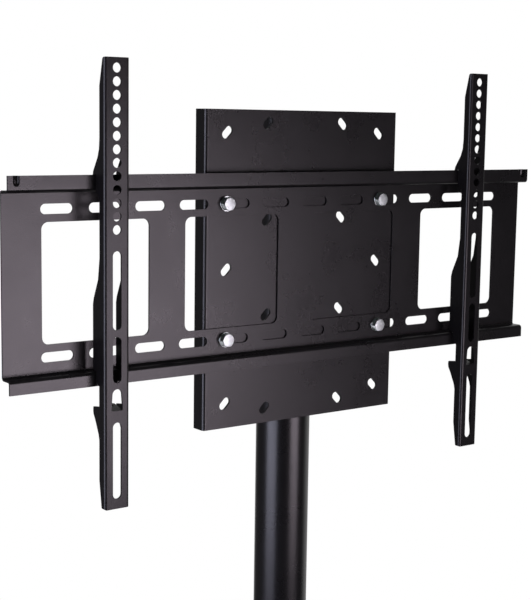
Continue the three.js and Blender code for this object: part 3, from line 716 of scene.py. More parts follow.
def folded_back(x, half, front, bend, back, steps=8):
    """The line of a sheet whose two sides are folded back, in X and Y."""
    return (
        [(x - half, back)]
        + arc((x - half + bend, front + bend), bend, 180, 270, steps)
        + arc((x + half - bend, front + bend), bend, -90, 0, steps)
        + [(x + half, back)]
    )


def head_plate():
    """The folded plate with its slanted holes and the studs on its back."""
    back = HEAD_FRONT + HEAD_DEPTH
    outside = folded_back(0, head_high.x, HEAD_FRONT, HEAD_BEND, back)
    inside = folded_back(0, head_high.x - HEAD_SHEET, HEAD_BACK, HEAD_BEND - HEAD_SHEET, back, 6)
    plate = prism("head_plate_sheet", outside + inside[::-1], "Z", head_low.z, head_high.z)
    for side in (-1, 1):
        turn = (TO_FRONT[0], side * pi / 4, 0)
        for column, count, pitch in OVAL_COLUMNS:
            start = (side * column, HEAD_FRONT, HEAD_HOLES_Z - pitch * (count - 1) / 2)
            punch_row(plate, start, (0, 0, pitch), count, OVAL_LENGTH, OVAL_WIDTH, turn=turn)
    ease_edges(plate, STEEL_EDGE)
    profile = threaded_profile(STUD_RADIUS, -0.5 * MM, head_high.y - HEAD_BACK)
    for z in STRAP_ROWS:
        for x in (-STUD_X, STUD_X):
            stud = placed(turned("stud", profile, segments=24), (x, HEAD_BACK, z), -pi / 2, "X")
            combine(plate, "UNION", stud)
    return flat_faces(plate)


dress(head_plate(), "head", powder_coat, "black_powder_coat", "head_plate")

# %% The two straps
pole_low, pole_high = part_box("upper_pole")
POLE_RADIUS = (pole_high.x - pole_low.x) / 2
POLE_Y = (pole_high.y + pole_low.y) / 2
GAP = 0.3 * MM
STRAP_SHEET = 4 * MM
STRAP_HALF_HEIGHT = 15 * MM
STUD_HOLE = 8.6 * MM
COLUMN_AXIS = (0, POLE_Y)


def pole_straps():
    """Two bands around the back of the pole, each with an ear at both sides."""
    strap_low, strap_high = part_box("upper_pole_strap")
    inner = POLE_RADIUS + GAP
    outer = inner + STRAP_SHEET
    root = 3 * MM
    ear_back = HEAD_BACK + STRAP_SHEET
    section = (
        [(strap_low.x, HEAD_BACK), (-inner, HEAD_BACK)]
        + arc(COLUMN_AXIS, inner, 180, 0, 48)
        + [(inner, HEAD_BACK), (strap_high.x, HEAD_BACK), (strap_high.x, ear_back)]
        + arc((outer + root, ear_back + root), root, 270, 180)
        + arc(COLUMN_AXIS, outer, 0, 180, 48)
        + arc((-outer - root, ear_back + root), root, 0, -90)
        + [(strap_low.x, ear_back)]
    )
    straps = []
    for z in STRAP_ROWS:
        strap = prism("pole_straps", section, "Z", z - STRAP_HALF_HEIGHT, z + STRAP_HALF_HEIGHT)
        punch_row(strap, (-STUD_X, HEAD_BACK, z), (2 * STUD_X, 0, 0), 2, STUD_HOLE, STUD_HOLE)
        straps.append(ease_edges(strap, 0.5 * MM))
    return ease_edges(joined("pole_straps", *straps), 0.1 * MM, 1)


dress(pole_straps(), "head", powder_coat, "black_powder_coat",
      "upper_pole_strap", "lower_pole_strap")

# %% [markdown]
# ## The arms
#
# Each arm is a narrow channel. Its front face takes the screws of the television, and its two
# flanges are cut to shape: narrow at the top, wide where they hook over the top lip, and wide
# again around the bottom lip. A tab bent back out of a small arched window takes a locking screw.
#
# The arm is made as it would be from a block: the side shape, kept only where it meets the
# channel, and then punched.

# %% The shape of an arm
ARM_SHEET = 2 * MM
ARM_BEND = 3 * MM
LIP_TOP = rail_high.z
LIP_BOTTOM = rail_low.z
ARM_CORNER = 2 * MM
NARROW = 9.8 * MM
WIDE = 22.4 * MM
CHANNEL_DEPTH = 40 * MM


def arm_side(front, low, high):
    """The outline of an arm's flanges in Y and Z, from the foot up the back and over the top."""
    lip_gap = LIP_FRONT - GAP
    behind_lip = LIP_FRONT + RAIL_SHEET + GAP
    step_top = HEAD_Z - WEB + RAIL_SHEET + GAP

    def narrow(more, height):
        return (front + NARROW + more * MM, HEAD_Z + height * MM)

    def wide(less, height):
        return (front + WIDE - less * MM, HEAD_Z + height * MM)

    return [
        (front, low), (front + 6.4 * MM, low), (front + NARROW + 0.9 * MM, low + 28 * MM),
        narrow(0.9, -151.5), narrow(2.4, -145.6), narrow(6, -138.2),
        wide(3.5, -132), wide(0.6, -127.3), wide(0, -124), wide(0.3, -120.2),
        narrow(0.9, -118.6), (front + NARROW + 0.9 * MM, LIP_BOTTOM + 1 * MM),
        (lip_gap, LIP_BOTTOM + 3 * MM), (lip_gap, step_top),
        (front + WIDE, step_top), wide(0, -21), wide(1.5, -15),
        narrow(2.9, 3), narrow(0, 24), narrow(0, 79),
        (lip_gap, HEAD_Z + 86.5 * MM), (lip_gap, LIP_TOP + GAP), (behind_lip, LIP_TOP + GAP),
        (behind_lip, HEAD_Z + 91.5 * MM), wide(0, 91.5), wide(0, 101), wide(1, 105),
        narrow(3.4, 118), narrow(0.6, 126), narrow(-0.2, 136), narrow(-0.2, 184),
        (front + 3.6 * MM, high), (front, high),
    ]


def channel(name, x, half, front, bend, low, high):
    """A solid with two round front corners, which trims an arm outside or hollows it inside."""
    plan = folded_back(x, half, front, bend, front + CHANNEL_DEPTH)
    return prism(name, plan, "Z", low, high)


print("an arm's side has", len(arm_side(0, 0, 1)), "corners")

# %% The arms
ARM_HOLE = 9.2 * MM
ARM_HOLE_PITCH = 12.5 * MM
ARM_HOLE_COUNT = 13
ARM_TOP_HOLE = HEAD_Z + 200.6 * MM
ARM_SLOTS = ((-44.6 * MM, 30.6 * MM), (-95.5 * MM, -50.9 * MM), (-208.6 * MM, -133.7 * MM))
ARM_SLOT_WIDTH = 9.4 * MM
ARCH_TOP = HEAD_Z - 101.3 * MM
ARCH_FOOT = HEAD_Z - 122.4 * MM
ARCH_HALF = 6.2 * MM
TAB_HALF = 5.7 * MM
TAB_LENGTH = 15 * MM
TAB_RISE = 4.5 * MM
ARM_PUNCH = 8 * MM


def arched_window(x):
    """The outline of the arched window: straight sides on a foot with small corners."""
    foot = 1.5 * MM
    crown = 5.2 * MM
    return (
        arc((x + ARCH_HALF - foot, ARCH_FOOT + foot), foot, -90, 0, 6)
        + arc((x, ARCH_TOP - crown), crown, 0, 180, 16)
        + arc((x - ARCH_HALF + foot, ARCH_FOOT + foot), foot, 180, 270, 6)
    )


def bent_tab(x, front):
    """The tab behind the window, bent back and up, with a screw notch in its end."""
    start = front + 0.5 * MM
    end = front + TAB_LENGTH
    corner = 2 * MM
    corner_x = TAB_HALF - 2.4 * MM
    notch = 2.2 * MM
    mouth = notch * 0.6
    plan = (
        [(x - TAB_HALF, start), (x + TAB_HALF, start)]
        + arc((x + corner_x, end - corner), corner, 0, 90, 5)
        + [(x + mouth, end)]
        + arc((x, end - 4 * MM), notch, 55, -235, 14)
        + [(x - mouth, end)]
        + arc((x - corner_x, end - corner), corner, 90, 180, 5)
    )
    top = ARCH_FOOT + 0.2 * MM
    foot = top - ARM_SHEET
    slope = [(start, foot), (end, foot + TAB_RISE), (end, top + TAB_RISE), (start, top)]
    tab = prism("tab", plan, "Z", foot - 1 * MM, top + TAB_RISE + 1 * MM)
    sloping = prism("slope", slope, "X", x - TAB_HALF - 1 * MM, x + TAB_HALF + 1 * MM)
    return combine(tab, "INTERSECT", sloping)


def arm(name, cad_node):
    """A slotted channel with shaped flanges."""
    low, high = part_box(cad_node)
    x = (low.x + high.x) / 2
    half = (high.x - low.x) / 2
    front = low.y
    body = prism(name, arm_side(front, low.z, high.z), "X", low.x, high.x)
    outside = channel("outside", x, half, front, ARM_BEND, low.z - PAST, high.z + PAST)
    face = rounded_rectangle(low.x, low.z, high.x, high.z, ARM_CORNER)
    trim = prism("face", face, "Y", front - PAST, front + CHANNEL_DEPTH + PAST)
    combine(body, "INTERSECT", outside, trim)
    inside = channel(
        "inside", x, half - ARM_SHEET, front + ARM_SHEET, ARM_BEND - ARM_SHEET,
        low.z - 2 * PAST, high.z + 2 * PAST,
    )
    combine(body, "DIFFERENCE", inside)
    arch = prism("arch", arched_window(x), "Y", front - PAST, front + ARM_SHEET + 1 * MM)
    combine(body, "DIFFERENCE", arch)
    combine(body, "UNION", bent_tab(x, front))
    holes = [(ARM_TOP_HOLE, ARM_HOLE_COUNT, ARM_HOLE, ARM_HOLE)]
    for foot, head in ARM_SLOTS:
        holes.append((HEAD_Z + (foot + head) / 2, 1, ARM_SLOT_WIDTH, head - foot))
    for z, count, width, height in holes:
        step = (0, 0, -ARM_HOLE_PITCH)
        punch_row(body, (x, front, z), step, count, width, height, depth=ARM_PUNCH)
    return ease_edges(body, STEEL_EDGE)


for side in ("left_arm", "right_arm"):
    dress(arm(side + "_channel", side), side, arm_coat, "black_powder_coat", side)

# %% [markdown]
# ## The column
#
# The column is two steel tubes. The wide lower one is welded into a bolted flange, and the
# narrow upper one slides in it on a plastic bush and a plastic shoe. A split collar squeezes the
# lower tube's slit end to hold the height. Both tubes have an oval outlet at the back for cables,
# lined with a grommet.

# %% The tubes
column_low, column_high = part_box("lower_column")
COLUMN_RADIUS = (column_high.x - column_low.x) / 2
TUBE_WALL = 2.5 * MM
OUTLET_WIDTH = 18 * MM
OUTLET_HEIGHT = 36 * MM
LOWER_OUTLET_Z = 130 * MM
UPPER_OUTLET_Z = HEAD_Z
SLIT = 5 * MM
SLIT_LENGTH = 70 * MM
BEHIND_AXIS = POLE_Y + 4 * MM


def tube(name, outer, inner, low, high):
    """An upright tube on the column's axis."""
    return turned(name, rectangle(inner, low, outer, high), COLUMN_AXIS, 128)


def outlet(name, z, grow, radius):
    """A solid that passes through the rear wall of a tube in the shape of a cable outlet."""
    points = upright_slot((0, z), OUTLET_WIDTH + 2 * grow, OUTLET_HEIGHT + 2 * grow)
    return prism(name, points, "Y", BEHIND_AXIS, POLE_Y + radius + 8 * MM)


def slit(width, low, high):
    """A solid that slits the rear wall of a tube."""
    points = rounded_rectangle(-width / 2, low, width / 2, high, width / 2 - 0.1 * MM)
    return prism("slit", points, "Y", BEHIND_AXIS, POLE_Y + COLUMN_RADIUS + 5 * MM)


def steel_tube(name, radius, low, high, outlet_z, *cuts):
    """A tube with its cable outlet and any other cuts."""
    body = tube(name, radius, radius - TUBE_WALL, low, high)
    combine(body, "DIFFERENCE", outlet("outlet", outlet_z, 0, radius), *cuts)
    return ease_edges(body, STEEL_EDGE)


lower_column = steel_tube(
    "lower_column_tube", COLUMN_RADIUS, column_low.z, column_high.z, LOWER_OUTLET_Z,
    slit(SLIT, column_high.z - SLIT_LENGTH, column_high.z + 2 * PAST),
)
upper_pole = steel_tube("upper_pole_tube", POLE_RADIUS, pole_low.z, pole_high.z, UPPER_OUTLET_Z)


dress(lower_column, "stand", powder_coat, "black_powder_coat", "lower_column")
dress(upper_pole, "pole", powder_coat, "black_powder_coat", "upper_pole")

# %% Grommets, bush, shoe and cap
RIM_OVERLAP = 3.5 * MM
RIM_THICKNESS = 2.4 * MM
SLEEVE_WALL = 2.4 * MM
GROMMET_REACH = 40 * MM


def grommet(name, radius, z):
    """An oval rim that follows the tube outside, on a sleeve through its wall."""
    low, high = z - GROMMET_REACH, z + GROMMET_REACH
    rim = outlet(name, z, RIM_OVERLAP, radius)
    combine(rim, "INTERSECT", tube("skin", radius + RIM_THICKNESS, radius + GAP, low, high))
    sleeve = outlet("sleeve", z, -GAP, radius)
    inside = radius - TUBE_WALL - 2 * MM
    combine(sleeve, "INTERSECT", tube("wall", radius + 1 * MM, inside, low, high))
    combine(rim, "UNION", sleeve)
    combine(rim, "DIFFERENCE", outlet("bore", z, -SLEEVE_WALL, radius))
    return ease_edges(rim, 0.5 * MM)


def guide_bush():
    """The slit plastic bush between the tubes, with a rim on the lower tube's end."""
    low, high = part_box("column_guide_bush")
    inner = POLE_RADIUS + GAP
    outer = COLUMN_RADIUS - TUBE_WALL - GAP
    rim = column_high.z + GAP
    edge = 1 * MM
    profile = [(inner, low.z), (outer, low.z), (outer, rim), (COLUMN_RADIUS, rim),
               (COLUMN_RADIUS, high.z - edge), (COLUMN_RADIUS - edge, high.z), (inner, high.z)]
    body = turned("guide_bush_ring", profile, COLUMN_AXIS)
    combine(body, "DIFFERENCE", slit(3 * MM, low.z - 5 * MM, high.z + 2 * PAST))
    return ease_edges(body, PLASTIC_EDGE)


def slide_shoe():
    """The plastic cup on the foot of the upper tube."""
    low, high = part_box("pole_slide_shoe")
    outer = COLUMN_RADIUS - TUBE_WALL - GAP
    inner = POLE_RADIUS + GAP
    lip = POLE_RADIUS - TUBE_WALL - 3 * MM
    floor_z = pole_low.z - GAP
    profile = [(lip, low.z), (outer - 1.5 * MM, low.z), (outer, low.z + 2 * MM), (outer, high.z),
               (inner, high.z), (inner, floor_z), (lip, floor_z)]
    return ease_edges(turned("slide_shoe_cup", profile, COLUMN_AXIS), PLASTIC_EDGE)


def pole_cap():
    """The round cap on the open top of the upper tube."""
    low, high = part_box("pole_cap")
    spigot = POLE_RADIUS - TUBE_WALL - GAP
    rim = pole_high.z + GAP
    crown = 3 * MM
    profile = (
        [(0, low.z), (spigot - 1 * MM, low.z), (spigot, low.z + 2 * MM), (spigot, rim),
         (POLE_RADIUS, rim)]
        + arc((POLE_RADIUS - crown, high.z - crown), crown, 0, 90)
        + [(0, high.z)]
    )
    return ease_edges(turned("pole_cap_moulding", profile, COLUMN_AXIS), PLASTIC_EDGE)


for piece, body, stood_for in (
    (grommet("lower_grommet", COLUMN_RADIUS, LOWER_OUTLET_Z), "stand", "lower_cable_grommet"),
    (grommet("upper_grommet", POLE_RADIUS, UPPER_OUTLET_Z), "pole", "upper_cable_grommet"),
    (guide_bush(), "stand", "column_guide_bush"),
    (slide_shoe(), "pole", "pole_slide_shoe"),
    (pole_cap(), "pole", "pole_cap"),
):
    dress(piece, body, plastic, "black_plastic", stood_for)

# %% The clamp collar
collar_low, collar_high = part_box("height_clamp_collar")
COLLAR_INNER = COLUMN_RADIUS + GAP
COLLAR_OUTER = COLLAR_INNER + 8 * MM
COLLAR_Z = (collar_low.z + collar_high.z) / 2
LUG_HALF = 11.5 * MM
LUG_Y = POLE_Y + COLLAR_OUTER + 9 * MM
CLAMP_HOLE_RADIUS = 4.3 * MM


def clamp_collar():
    """The split ring with two lugs at the back."""
    low, high = collar_low.z, collar_high.z
    edge = 1.5 * MM
    ring = turned(
        "clamp_collar_ring",
        [(COLLAR_INNER, low), (COLLAR_OUTER - edge, low), (COLLAR_OUTER, low + edge),
         (COLLAR_OUTER, high - edge), (COLLAR_OUTER - edge, high), (COLLAR_INNER, high)],
        COLUMN_AXIS,
    )
    inner_back = POLE_Y + COLLAR_INNER
    lugs = rounded_rectangle(-LUG_HALF, inner_back + 3 * MM, LUG_HALF, collar_high.y, 3 * MM)
    combine(ring, "UNION", prism("lugs", lugs, "Z", low, high))
    gap = rounded_rectangle(
        -SLIT / 2, inner_back - 6 * MM, SLIT / 2, collar_high.y + 2 * PAST, 1 * MM
    )
    bore = turned("bore", rectangle(0, low - PAST, COLLAR_INNER, high + PAST), COLUMN_AXIS)
    hole = arc((LUG_Y, COLLAR_Z), CLAMP_HOLE_RADIUS, 0, 345, 23)
    combine(
        ring, "DIFFERENCE", bore, prism("gap", gap, "Z", low - PAST, high + PAST),
        prism("hole", hole, "X", -2 * PAST, 2 * PAST),
    )
    return ease_edges(ring, 0.5 * MM)


dress(clamp_collar(), "stand", powder_coat, "black_powder_coat", "height_clamp_collar")

# %% [markdown]
# ## The flange and the base
#
# The lower tube stands in a turned steel flange and is welded to it. The weld is a bead with
# small overlapping ripples, made as a ring whose thickness pulses. Four bolts hold the flange to
# the base, a thick plate with rounded corners on four rubber feet.

# %% The flange with its weld
flange_low, flange_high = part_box("column_flange")
FLANGE_THICKNESS = 8 * MM
FLANGE_BOLT = 70 * MM * sqrt(0.5)
FLANGE_HOLE = 10.6 * MM
FLANGE_RIM = 1.5 * MM
DRILL_DEPTH = 30 * MM
WELD_SIZE = 3 * MM
WELD_ROOT = -0.1 * WELD_SIZE
WELD_RIPPLES = 96
RIPPLE_POINTS = 4
RIPPLE_DEPTH = 0.12
WELD_SWELLS = 7
SWELL_DEPTH = 0.06


def weld_bead(name, radius, z):
    """A ring of weld metal whose surface pulses in small ripples."""
    around = WELD_RIPPLES * RIPPLE_POINTS
    outlines = []
    for k in range(around):
        angle = 2 * pi * k / around
        ripples = RIPPLE_DEPTH * sin(WELD_RIPPLES * angle)
        size = WELD_SIZE * (1 + ripples + SWELL_DEPTH * sin(WELD_SWELLS * angle))
        section = [(WELD_ROOT, 0)] + arc((0, 0), size, 0, 90, 6) + [(WELD_ROOT, size)]
        outlines.append([(radius + a, z + b) for a, b in section])
    return ringed(name, outlines, COLUMN_AXIS)


def four_holes(piece, reach_x, middle_y, reach_y, z, width):
    """Drills a hole straight down at each corner of a rectangle."""
    for y in (middle_y - reach_y, middle_y + reach_y):
        punch_row(piece, (-reach_x, y, z), (2 * reach_x, 0, 0), 2, width, width,
                  turn=UPRIGHT, depth=DRILL_DEPTH)


def column_flange():
    """The round foot with its socket and the bead that joins the tube to it."""
    base = flange_low.z
    bore = COLUMN_RADIUS + GAP
    socket = bore + 7 * MM
    radius = flange_high.x
    cove = 4 * MM
    soft = 2 * MM
    top = base + FLANGE_THICKNESS
    profile = (
        [(bore, base), (radius, base), (radius, top - FLANGE_RIM), (radius - FLANGE_RIM, top)]
        + arc((socket + cove, top + cove), cove, 270, 180)
        + arc((socket - soft, flange_high.z - soft), soft, 0, 90)
        + [(bore, flange_high.z)]
    )
    body = turned("column_flange_forging", profile, COLUMN_AXIS, 128)
    four_holes(body, FLANGE_BOLT, POLE_Y, FLANGE_BOLT, top, FLANGE_HOLE)
    ease_edges(body, STEEL_EDGE)
    bead = weld_bead("weld", bore, flange_high.z - 0.2 * MM)
    bead.data.shade_smooth()
    return joined("column_flange_forging", body, bead)


dress(column_flange(), "stand", powder_coat, "black_powder_coat", "column_flange")

# %% The base plate
base_low, base_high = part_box("base_plate")
BASE_CORNER = 36 * MM
FOOT_X = base_high.x - 50 * MM
FOOT_Y = base_high.y - 50 * MM
FOOT_HOLE = 5.6 * MM


def base_plate():
    """The heavy plate with rounded corners and eased edges."""
    plan = rounded_rectangle(base_low.x, base_low.y, base_high.x, base_high.y, BASE_CORNER, 24)
    plate = prism("base_plate_steel", plan, "Z", base_low.z, base_high.z)
    middle = (base_low.z + base_high.z) / 2
    four_holes(plate, FOOT_X, 0, FOOT_Y, middle, FOOT_HOLE)
    four_holes(plate, FLANGE_BOLT, POLE_Y, FLANGE_BOLT, middle, FLANGE_HOLE)
    return ease_edges(plate, 1.0 * MM, 3)


dress(base_plate(), "stand", powder_coat, "black_powder_coat", "base_plate")

# %% [markdown]
# ## Fasteners and feet
#
# Bolts, nuts, washers, feet and their screws come in fours on a rectangle, but for the collar's
# one bolt and its nut. Each is modelled once, standing on the origin, and a second Geometry Nodes
# tree sets it at the four corners. A real bolt's head has a turned-off rim, and its thread is a
# row of sharp ridges.

# %% Geometry Nodes: copies at the corners of a rectangle
def four_corners_tree():
    """Sets a mesh at the four corners of a rectangle and turns each copy."""
    tree, given, result = node_group(
        "four_corners", "GeometryNodeTree",
        {"Mesh": "Geometry", "Corner": "Vector", "Across": "Vector", "Along": "Vector",
         "Turn": "Vector", "Material": "Material"},
        {"Mesh": "Geometry"},
    )
    pair = node(tree, "GeometryNodeMeshLine", {"Count": 2}, mode="OFFSET")
    other_pair = node(tree, "GeometryNodeMeshLine", {"Count": 2}, mode="OFFSET")
    spread = node(tree, "GeometryNodeInstanceOnPoints")
    corners = node(tree, "GeometryNodeRealizeInstances")
    copies = node(tree, "GeometryNodeInstanceOnPoints")
    plain = node(tree, "GeometryNodeRealizeInstances")
    paint = node(tree, "GeometryNodeSetMaterial")
    chain(
        tree,
        (given, "Corner", pair, "Start Location"),
        (given, "Across", pair, "Offset"),
        (given, "Along", other_pair, "Offset"),
        (pair, "Mesh", spread, "Points"),
        (other_pair, "Mesh", spread, "Instance"),
        (spread, "Instances", corners, "Geometry"),
        (corners, "Geometry", copies, "Points"),
        (given, "Mesh", copies, "Instance"),
        (given, "Turn", copies, "Rotation"),
        (copies, "Instances", plain, "Geometry"),
        (plain, "Geometry", paint, "Geometry"),
        (given, "Material", paint, "Material"),
        (paint, "Geometry", result, "Mesh"),
    )
    return tree


four_corners = four_corners_tree()


def at_corners(piece, corner, across, along, turn, material):
    """Sets copies of a piece at four corners."""
    return run_tree(piece, four_corners, corner=corner, across=across, along=along, turn=turn,
                    material=material)


print("the tree", four_corners.name, "has", len(four_corners.nodes), "nodes")

# %% Bolts, nuts and washers
M8 = {"flats": 13 * MM, "head": 5.3 * MM, "radius": 4 * MM, "nut": 6.5 * MM,
      "washer": 8.2 * MM, "sheet": 1.6 * MM}
M10 = {"flats": 16 * MM, "head": 6.4 * MM, "radius": 5 * MM, "nut": 8 * MM,
       "washer": 10 * MM, "sheet": 2 * MM}
RIM = 0.9 * MM
FACE_SHARE = 0.95


def hexagon_solid(name, size, height):
    """A hexagon with its rim turned off."""
    corner = size["flats"] / sqrt(3)
    face = size["flats"] / 2 * FACE_SHARE
    body = prism(name, arc((0, 0), corner, 0, 300, 5), "Z", 0, height)
    profile = [(0, 0), (corner + RIM, 0), (corner + RIM, height - RIM), (face, height), (0, height)]
    combine(body, "INTERSECT", turned("rim", profile, segments=72))
    return ease_edges(body, 0.2 * MM)


def hex_bolt(name, size, shank):
    """A bolt that hangs by its head from the plane z = 0."""
    head = hexagon_solid("head", size, size["head"])
    thread = turned("thread", threaded_profile(size["radius"], -shank, 0.3 * MM), segments=32)
    return joined(name, head, thread)


def hex_nut(name, size):
    """A nut on the plane z = 0, with a countersunk hole."""
    body = hexagon_solid(name, size, size["nut"])
    bore = size["radius"] + GAP
    high = size["nut"]
    sink = 0.6 * MM
    profile = [(0, -sink), (bore + 2 * sink, -sink), (bore, sink), (bore, high - sink),
               (bore + 2 * sink, high + sink), (0, high + sink)]
    return combine(body, "DIFFERENCE", turned("bore", profile, segments=48))


def washer(name, size):
    """A flat washer on the plane z = 0, with one rim rounded by the punch."""
    inner = size["radius"] + GAP
    outer = size["washer"]
    high = size["sheet"]
    soft = 0.5 * MM
    profile = (
        [(inner, 0), (outer, 0)]
        + arc((outer - soft, high - soft), soft, 0, 90, 4)
        + [(inner, high)]
    )
    return ease_edges(turned(name, profile, segments=72), 0.15 * MM)


RAIL_BOLT = (103 * MM, 70 * MM)
TO_BACK = (-pi / 2, 0, 0)
RAIL_PLACES = ("upper_left", "upper_right", "lower_left", "lower_right")


def on_rail(piece, y, turn, material=zinc):
    """Sets copies of a fastener at the four bolts of the rail plate."""
    x, z = RAIL_BOLT
    return at_corners(piece, (-x, y, HEAD_Z - z), (2 * x, 0, 0), (0, 0, 2 * z), turn, material)


bolt_length = M8["sheet"] + RAIL_SHEET + HEAD_SHEET + M8["nut"] + 2.5 * MM
rail_washers = on_rail(washer("rail_washers", M8), RAIL_FRONT, TO_FRONT, smooth_zinc)
rail_bolts = on_rail(hex_bolt("rail_bolts", M8, bolt_length), RAIL_FRONT - M8["sheet"], TO_FRONT)
rail_nuts = on_rail(hex_nut("rail_nuts", M8), HEAD_BACK, TO_BACK)
for piece, kind, look in (
    (rail_washers, "washer", smooth_zinc), (rail_bolts, "bolt", zinc), (rail_nuts, "nut", zinc)
):
    dress(piece, "head", look, "zinc_plate", *[f"rail_{kind}_{place}" for place in RAIL_PLACES])

# %% The other fasteners
strap_nuts = at_corners(
    hex_nut("strap_nuts", M8), (-STUD_X, HEAD_BACK + STRAP_SHEET, STRAP_ROWS[1]),
    (2 * STUD_X, 0, 0), (0, 0, STRAP_ROWS[0] - STRAP_ROWS[1]), TO_BACK, zinc,
)
dress(strap_nuts, "head", zinc, "zinc_plate", "upper_strap_nut_left", "upper_strap_nut_right",
      "lower_strap_nut_left", "lower_strap_nut_right")

FLANGE_TOP = flange_low.z + FLANGE_THICKNESS


def on_flange(piece, z):
    """Sets copies of a fastener at the four bolts of the flange."""
    corner = (-FLANGE_BOLT, POLE_Y - FLANGE_BOLT, z)
    return at_corners(piece, corner, (2 * FLANGE_BOLT, 0, 0), (0, 2 * FLANGE_BOLT, 0), UPRIGHT, zinc)


flange_shank = FLANGE_THICKNESS + M10["sheet"] + 7.5 * MM
flange_washers = on_flange(washer("flange_washers", M10), FLANGE_TOP)
flange_bolts = on_flange(hex_bolt("flange_bolts", M10, flange_shank), FLANGE_TOP + M10["sheet"])
for piece, kind in ((flange_washers, "washer"), (flange_bolts, "bolt")):
    dress(piece, "stand", zinc, "zinc_plate", *[f"flange_{kind}_{i}" for i in (1, 2, 3, 4)])

clamp_bolt = hex_bolt("clamp_bolt", M8, 2 * LUG_HALF + M8["nut"] + 3 * MM)
placed(clamp_bolt, (LUG_HALF, LUG_Y, COLLAR_Z), pi / 2, "Y")
dress(clamp_bolt, "stand", zinc, "zinc_plate", "height_clamp_bolt")
clamp_nut = hex_nut("clamp_nut", M8)
placed(clamp_nut, (-LUG_HALF, LUG_Y, COLLAR_Z), -pi / 2, "Y")
dress(clamp_nut, "stand", zinc, "zinc_plate", "height_clamp_nut")

# %% The feet and their screws
FOOT_HEIGHT = base_low.z
FOOT_RADIUS = 20 * MM
HEAD_UNDER = 5 * MM
FOOT_PLACES = ("front_left", "front_right", "rear_left", "rear_right")


def rubber_foot():
    """A round foot with a recess underneath for its screw."""
    recess = 6.5 * MM
    hole = FOOT_HOLE / 2
    soft = 2 * MM
    profile = (
        [(recess, 0)]
        + arc((FOOT_RADIUS - soft - 0.6 * MM, soft), soft, -90, -5, 6)
        + [(FOOT_RADIUS, FOOT_HEIGHT), (hole, FOOT_HEIGHT), (hole, HEAD_UNDER), (recess, HEAD_UNDER)]
    )
    return ease_edges(turned("rubber_feet", profile), 0.4 * MM)


def foot_screw():
    """A pan-head screw that stands on its head, with a crosswise recess in it."""
    high = base_high.z - 1 * MM
    radius = 5.2 * MM
    soft = 1.4 * MM
    face = 1.8 * MM
    head = turned(
        "head",
        [(0, face)] + arc((radius - soft, face + soft), soft, -90, 0)
        + [(radius, HEAD_UNDER), (0, HEAD_UNDER)],
        segments=48,
    )
    long, short = 2.6 * MM, 0.6 * MM
    for x, y in ((long, short), (short, long)):
        cross = prism("cross", rectangle(-x, -y, x, y), "Z", 0, face + 1.6 * MM)
        combine(head, "DIFFERENCE", cross)
    ease_edges(head, 0.1 * MM)
    ridges = threaded_profile(2.5 * MM, HEAD_UNDER - 0.3 * MM, high, 0.8 * MM, 0.4 * MM)
    return joined("foot_screws", head, turned("thread", ridges, segments=24))


def at_feet(piece, material):
    """Sets copies of a piece at the four feet."""
    return at_corners(
        piece, (-FOOT_X, -FOOT_Y, 0), (2 * FOOT_X, 0, 0), (0, 2 * FOOT_Y, 0), UPRIGHT, material
    )


dress(at_feet(rubber_foot(), rubber), "stand", rubber, "black_rubber",
      *["rubber_foot_" + place for place in FOOT_PLACES])
dress(at_feet(foot_screw(), zinc), "stand", zinc, "zinc_plate",
      *["foot_screw_" + place for place in FOOT_PLACES])

# %% [markdown]
# ## Light and background
#
# The photograph is a cut-out on white, lit by two large soft lights. The reflections on the round
# pole tell where they stood: a neutral one in front, a little to the right, and a cooler one
# straight to the left. Right edges catch a bright wall behind the stand, and faces turned left a
# dim one. Nothing bright lies below, so the bends that look down stay black. A third lamp, high
# above, keeps the floor white around the shadow, and reflections don't see it.
#
# The background is white to the camera only, so that the black steel stays black. Glossy surfaces
# see the two walls on a dark room instead.

# %% The world
world = bpy.data.worlds.new("studio")
bpy.context.scene.world = world
world.use_nodes = True
WORLD_LIGHT = 0.25
ROOM_GLOSS = 0.03
WALLS = (
    {"azimuth": 125, "level": 0.6, "full within": 35, "none past": 60},
    {"azimuth": -150, "level": 0.05, "full within": 30, "none past": 60},
)


def room_in_reflections(tree):
    """The dark room with its walls, as glossy surfaces see it."""
    direction = node(tree, "ShaderNodeTexCoord")
    room = node(tree, "ShaderNodeValue")
    room.outputs[0].default_value = ROOM_GLOSS
    for wall in WALLS:
        angle = radians(wall["azimuth"])
        towards = node(
            tree, "ShaderNodeVectorMath", {1: (sin(angle), -cos(angle), 0)}, operation="DOT_PRODUCT"
        )
        spread = node(
            tree, "ShaderNodeMapRange",
            {"From Min": cos(radians(wall["none past"])),
             "From Max": cos(radians(wall["full within"])), "To Max": wall["level"]},
            interpolation_type="SMOOTHSTEP",
        )
        total = node(tree, "ShaderNodeMath", operation="ADD")
        chain(
            tree,
            (direction, "Generated", towards, 0),
            (towards, "Value", spread, "Value"),
            (room, 0, total, 0),
            (spread, "Result", total, 1),
        )
        room = total
    return room


def background_strength(tree, room=None):
    """A strength of 1 for the camera and through glass, the room in reflections, dim as light."""
    path = node(tree, "ShaderNodeLightPath")
    shown = node(tree, "ShaderNodeMath", operation="MAXIMUM")
    seen = node(tree, "ShaderNodeMix", {"A": WORLD_LIGHT, "B": WORLD_LIGHT})
    total = node(tree, "ShaderNodeMath", operation="MAXIMUM")
    chain(
        tree,
        (path, "Is Camera Ray", shown, 0),
        (path, "Is Transmission Ray", shown, 1),
        (path, "Is Glossy Ray", seen, "Factor"),
        (shown, 0, total, 0),
        (seen, "Result", total, 1),
    )
    if room:
        chain(tree, (room, 0, seen, "B"))
    return total


studio = world.node_tree
backdrop = fill(studio.nodes["Background"], {"Color": (1, 1, 1, 1)})
strength = background_strength(studio, room_in_reflections(studio))
chain(studio, (strength, 0, backdrop, "Strength"))
print("the world gives", WORLD_LIGHT, "of light and has", len(WALLS), "walls")

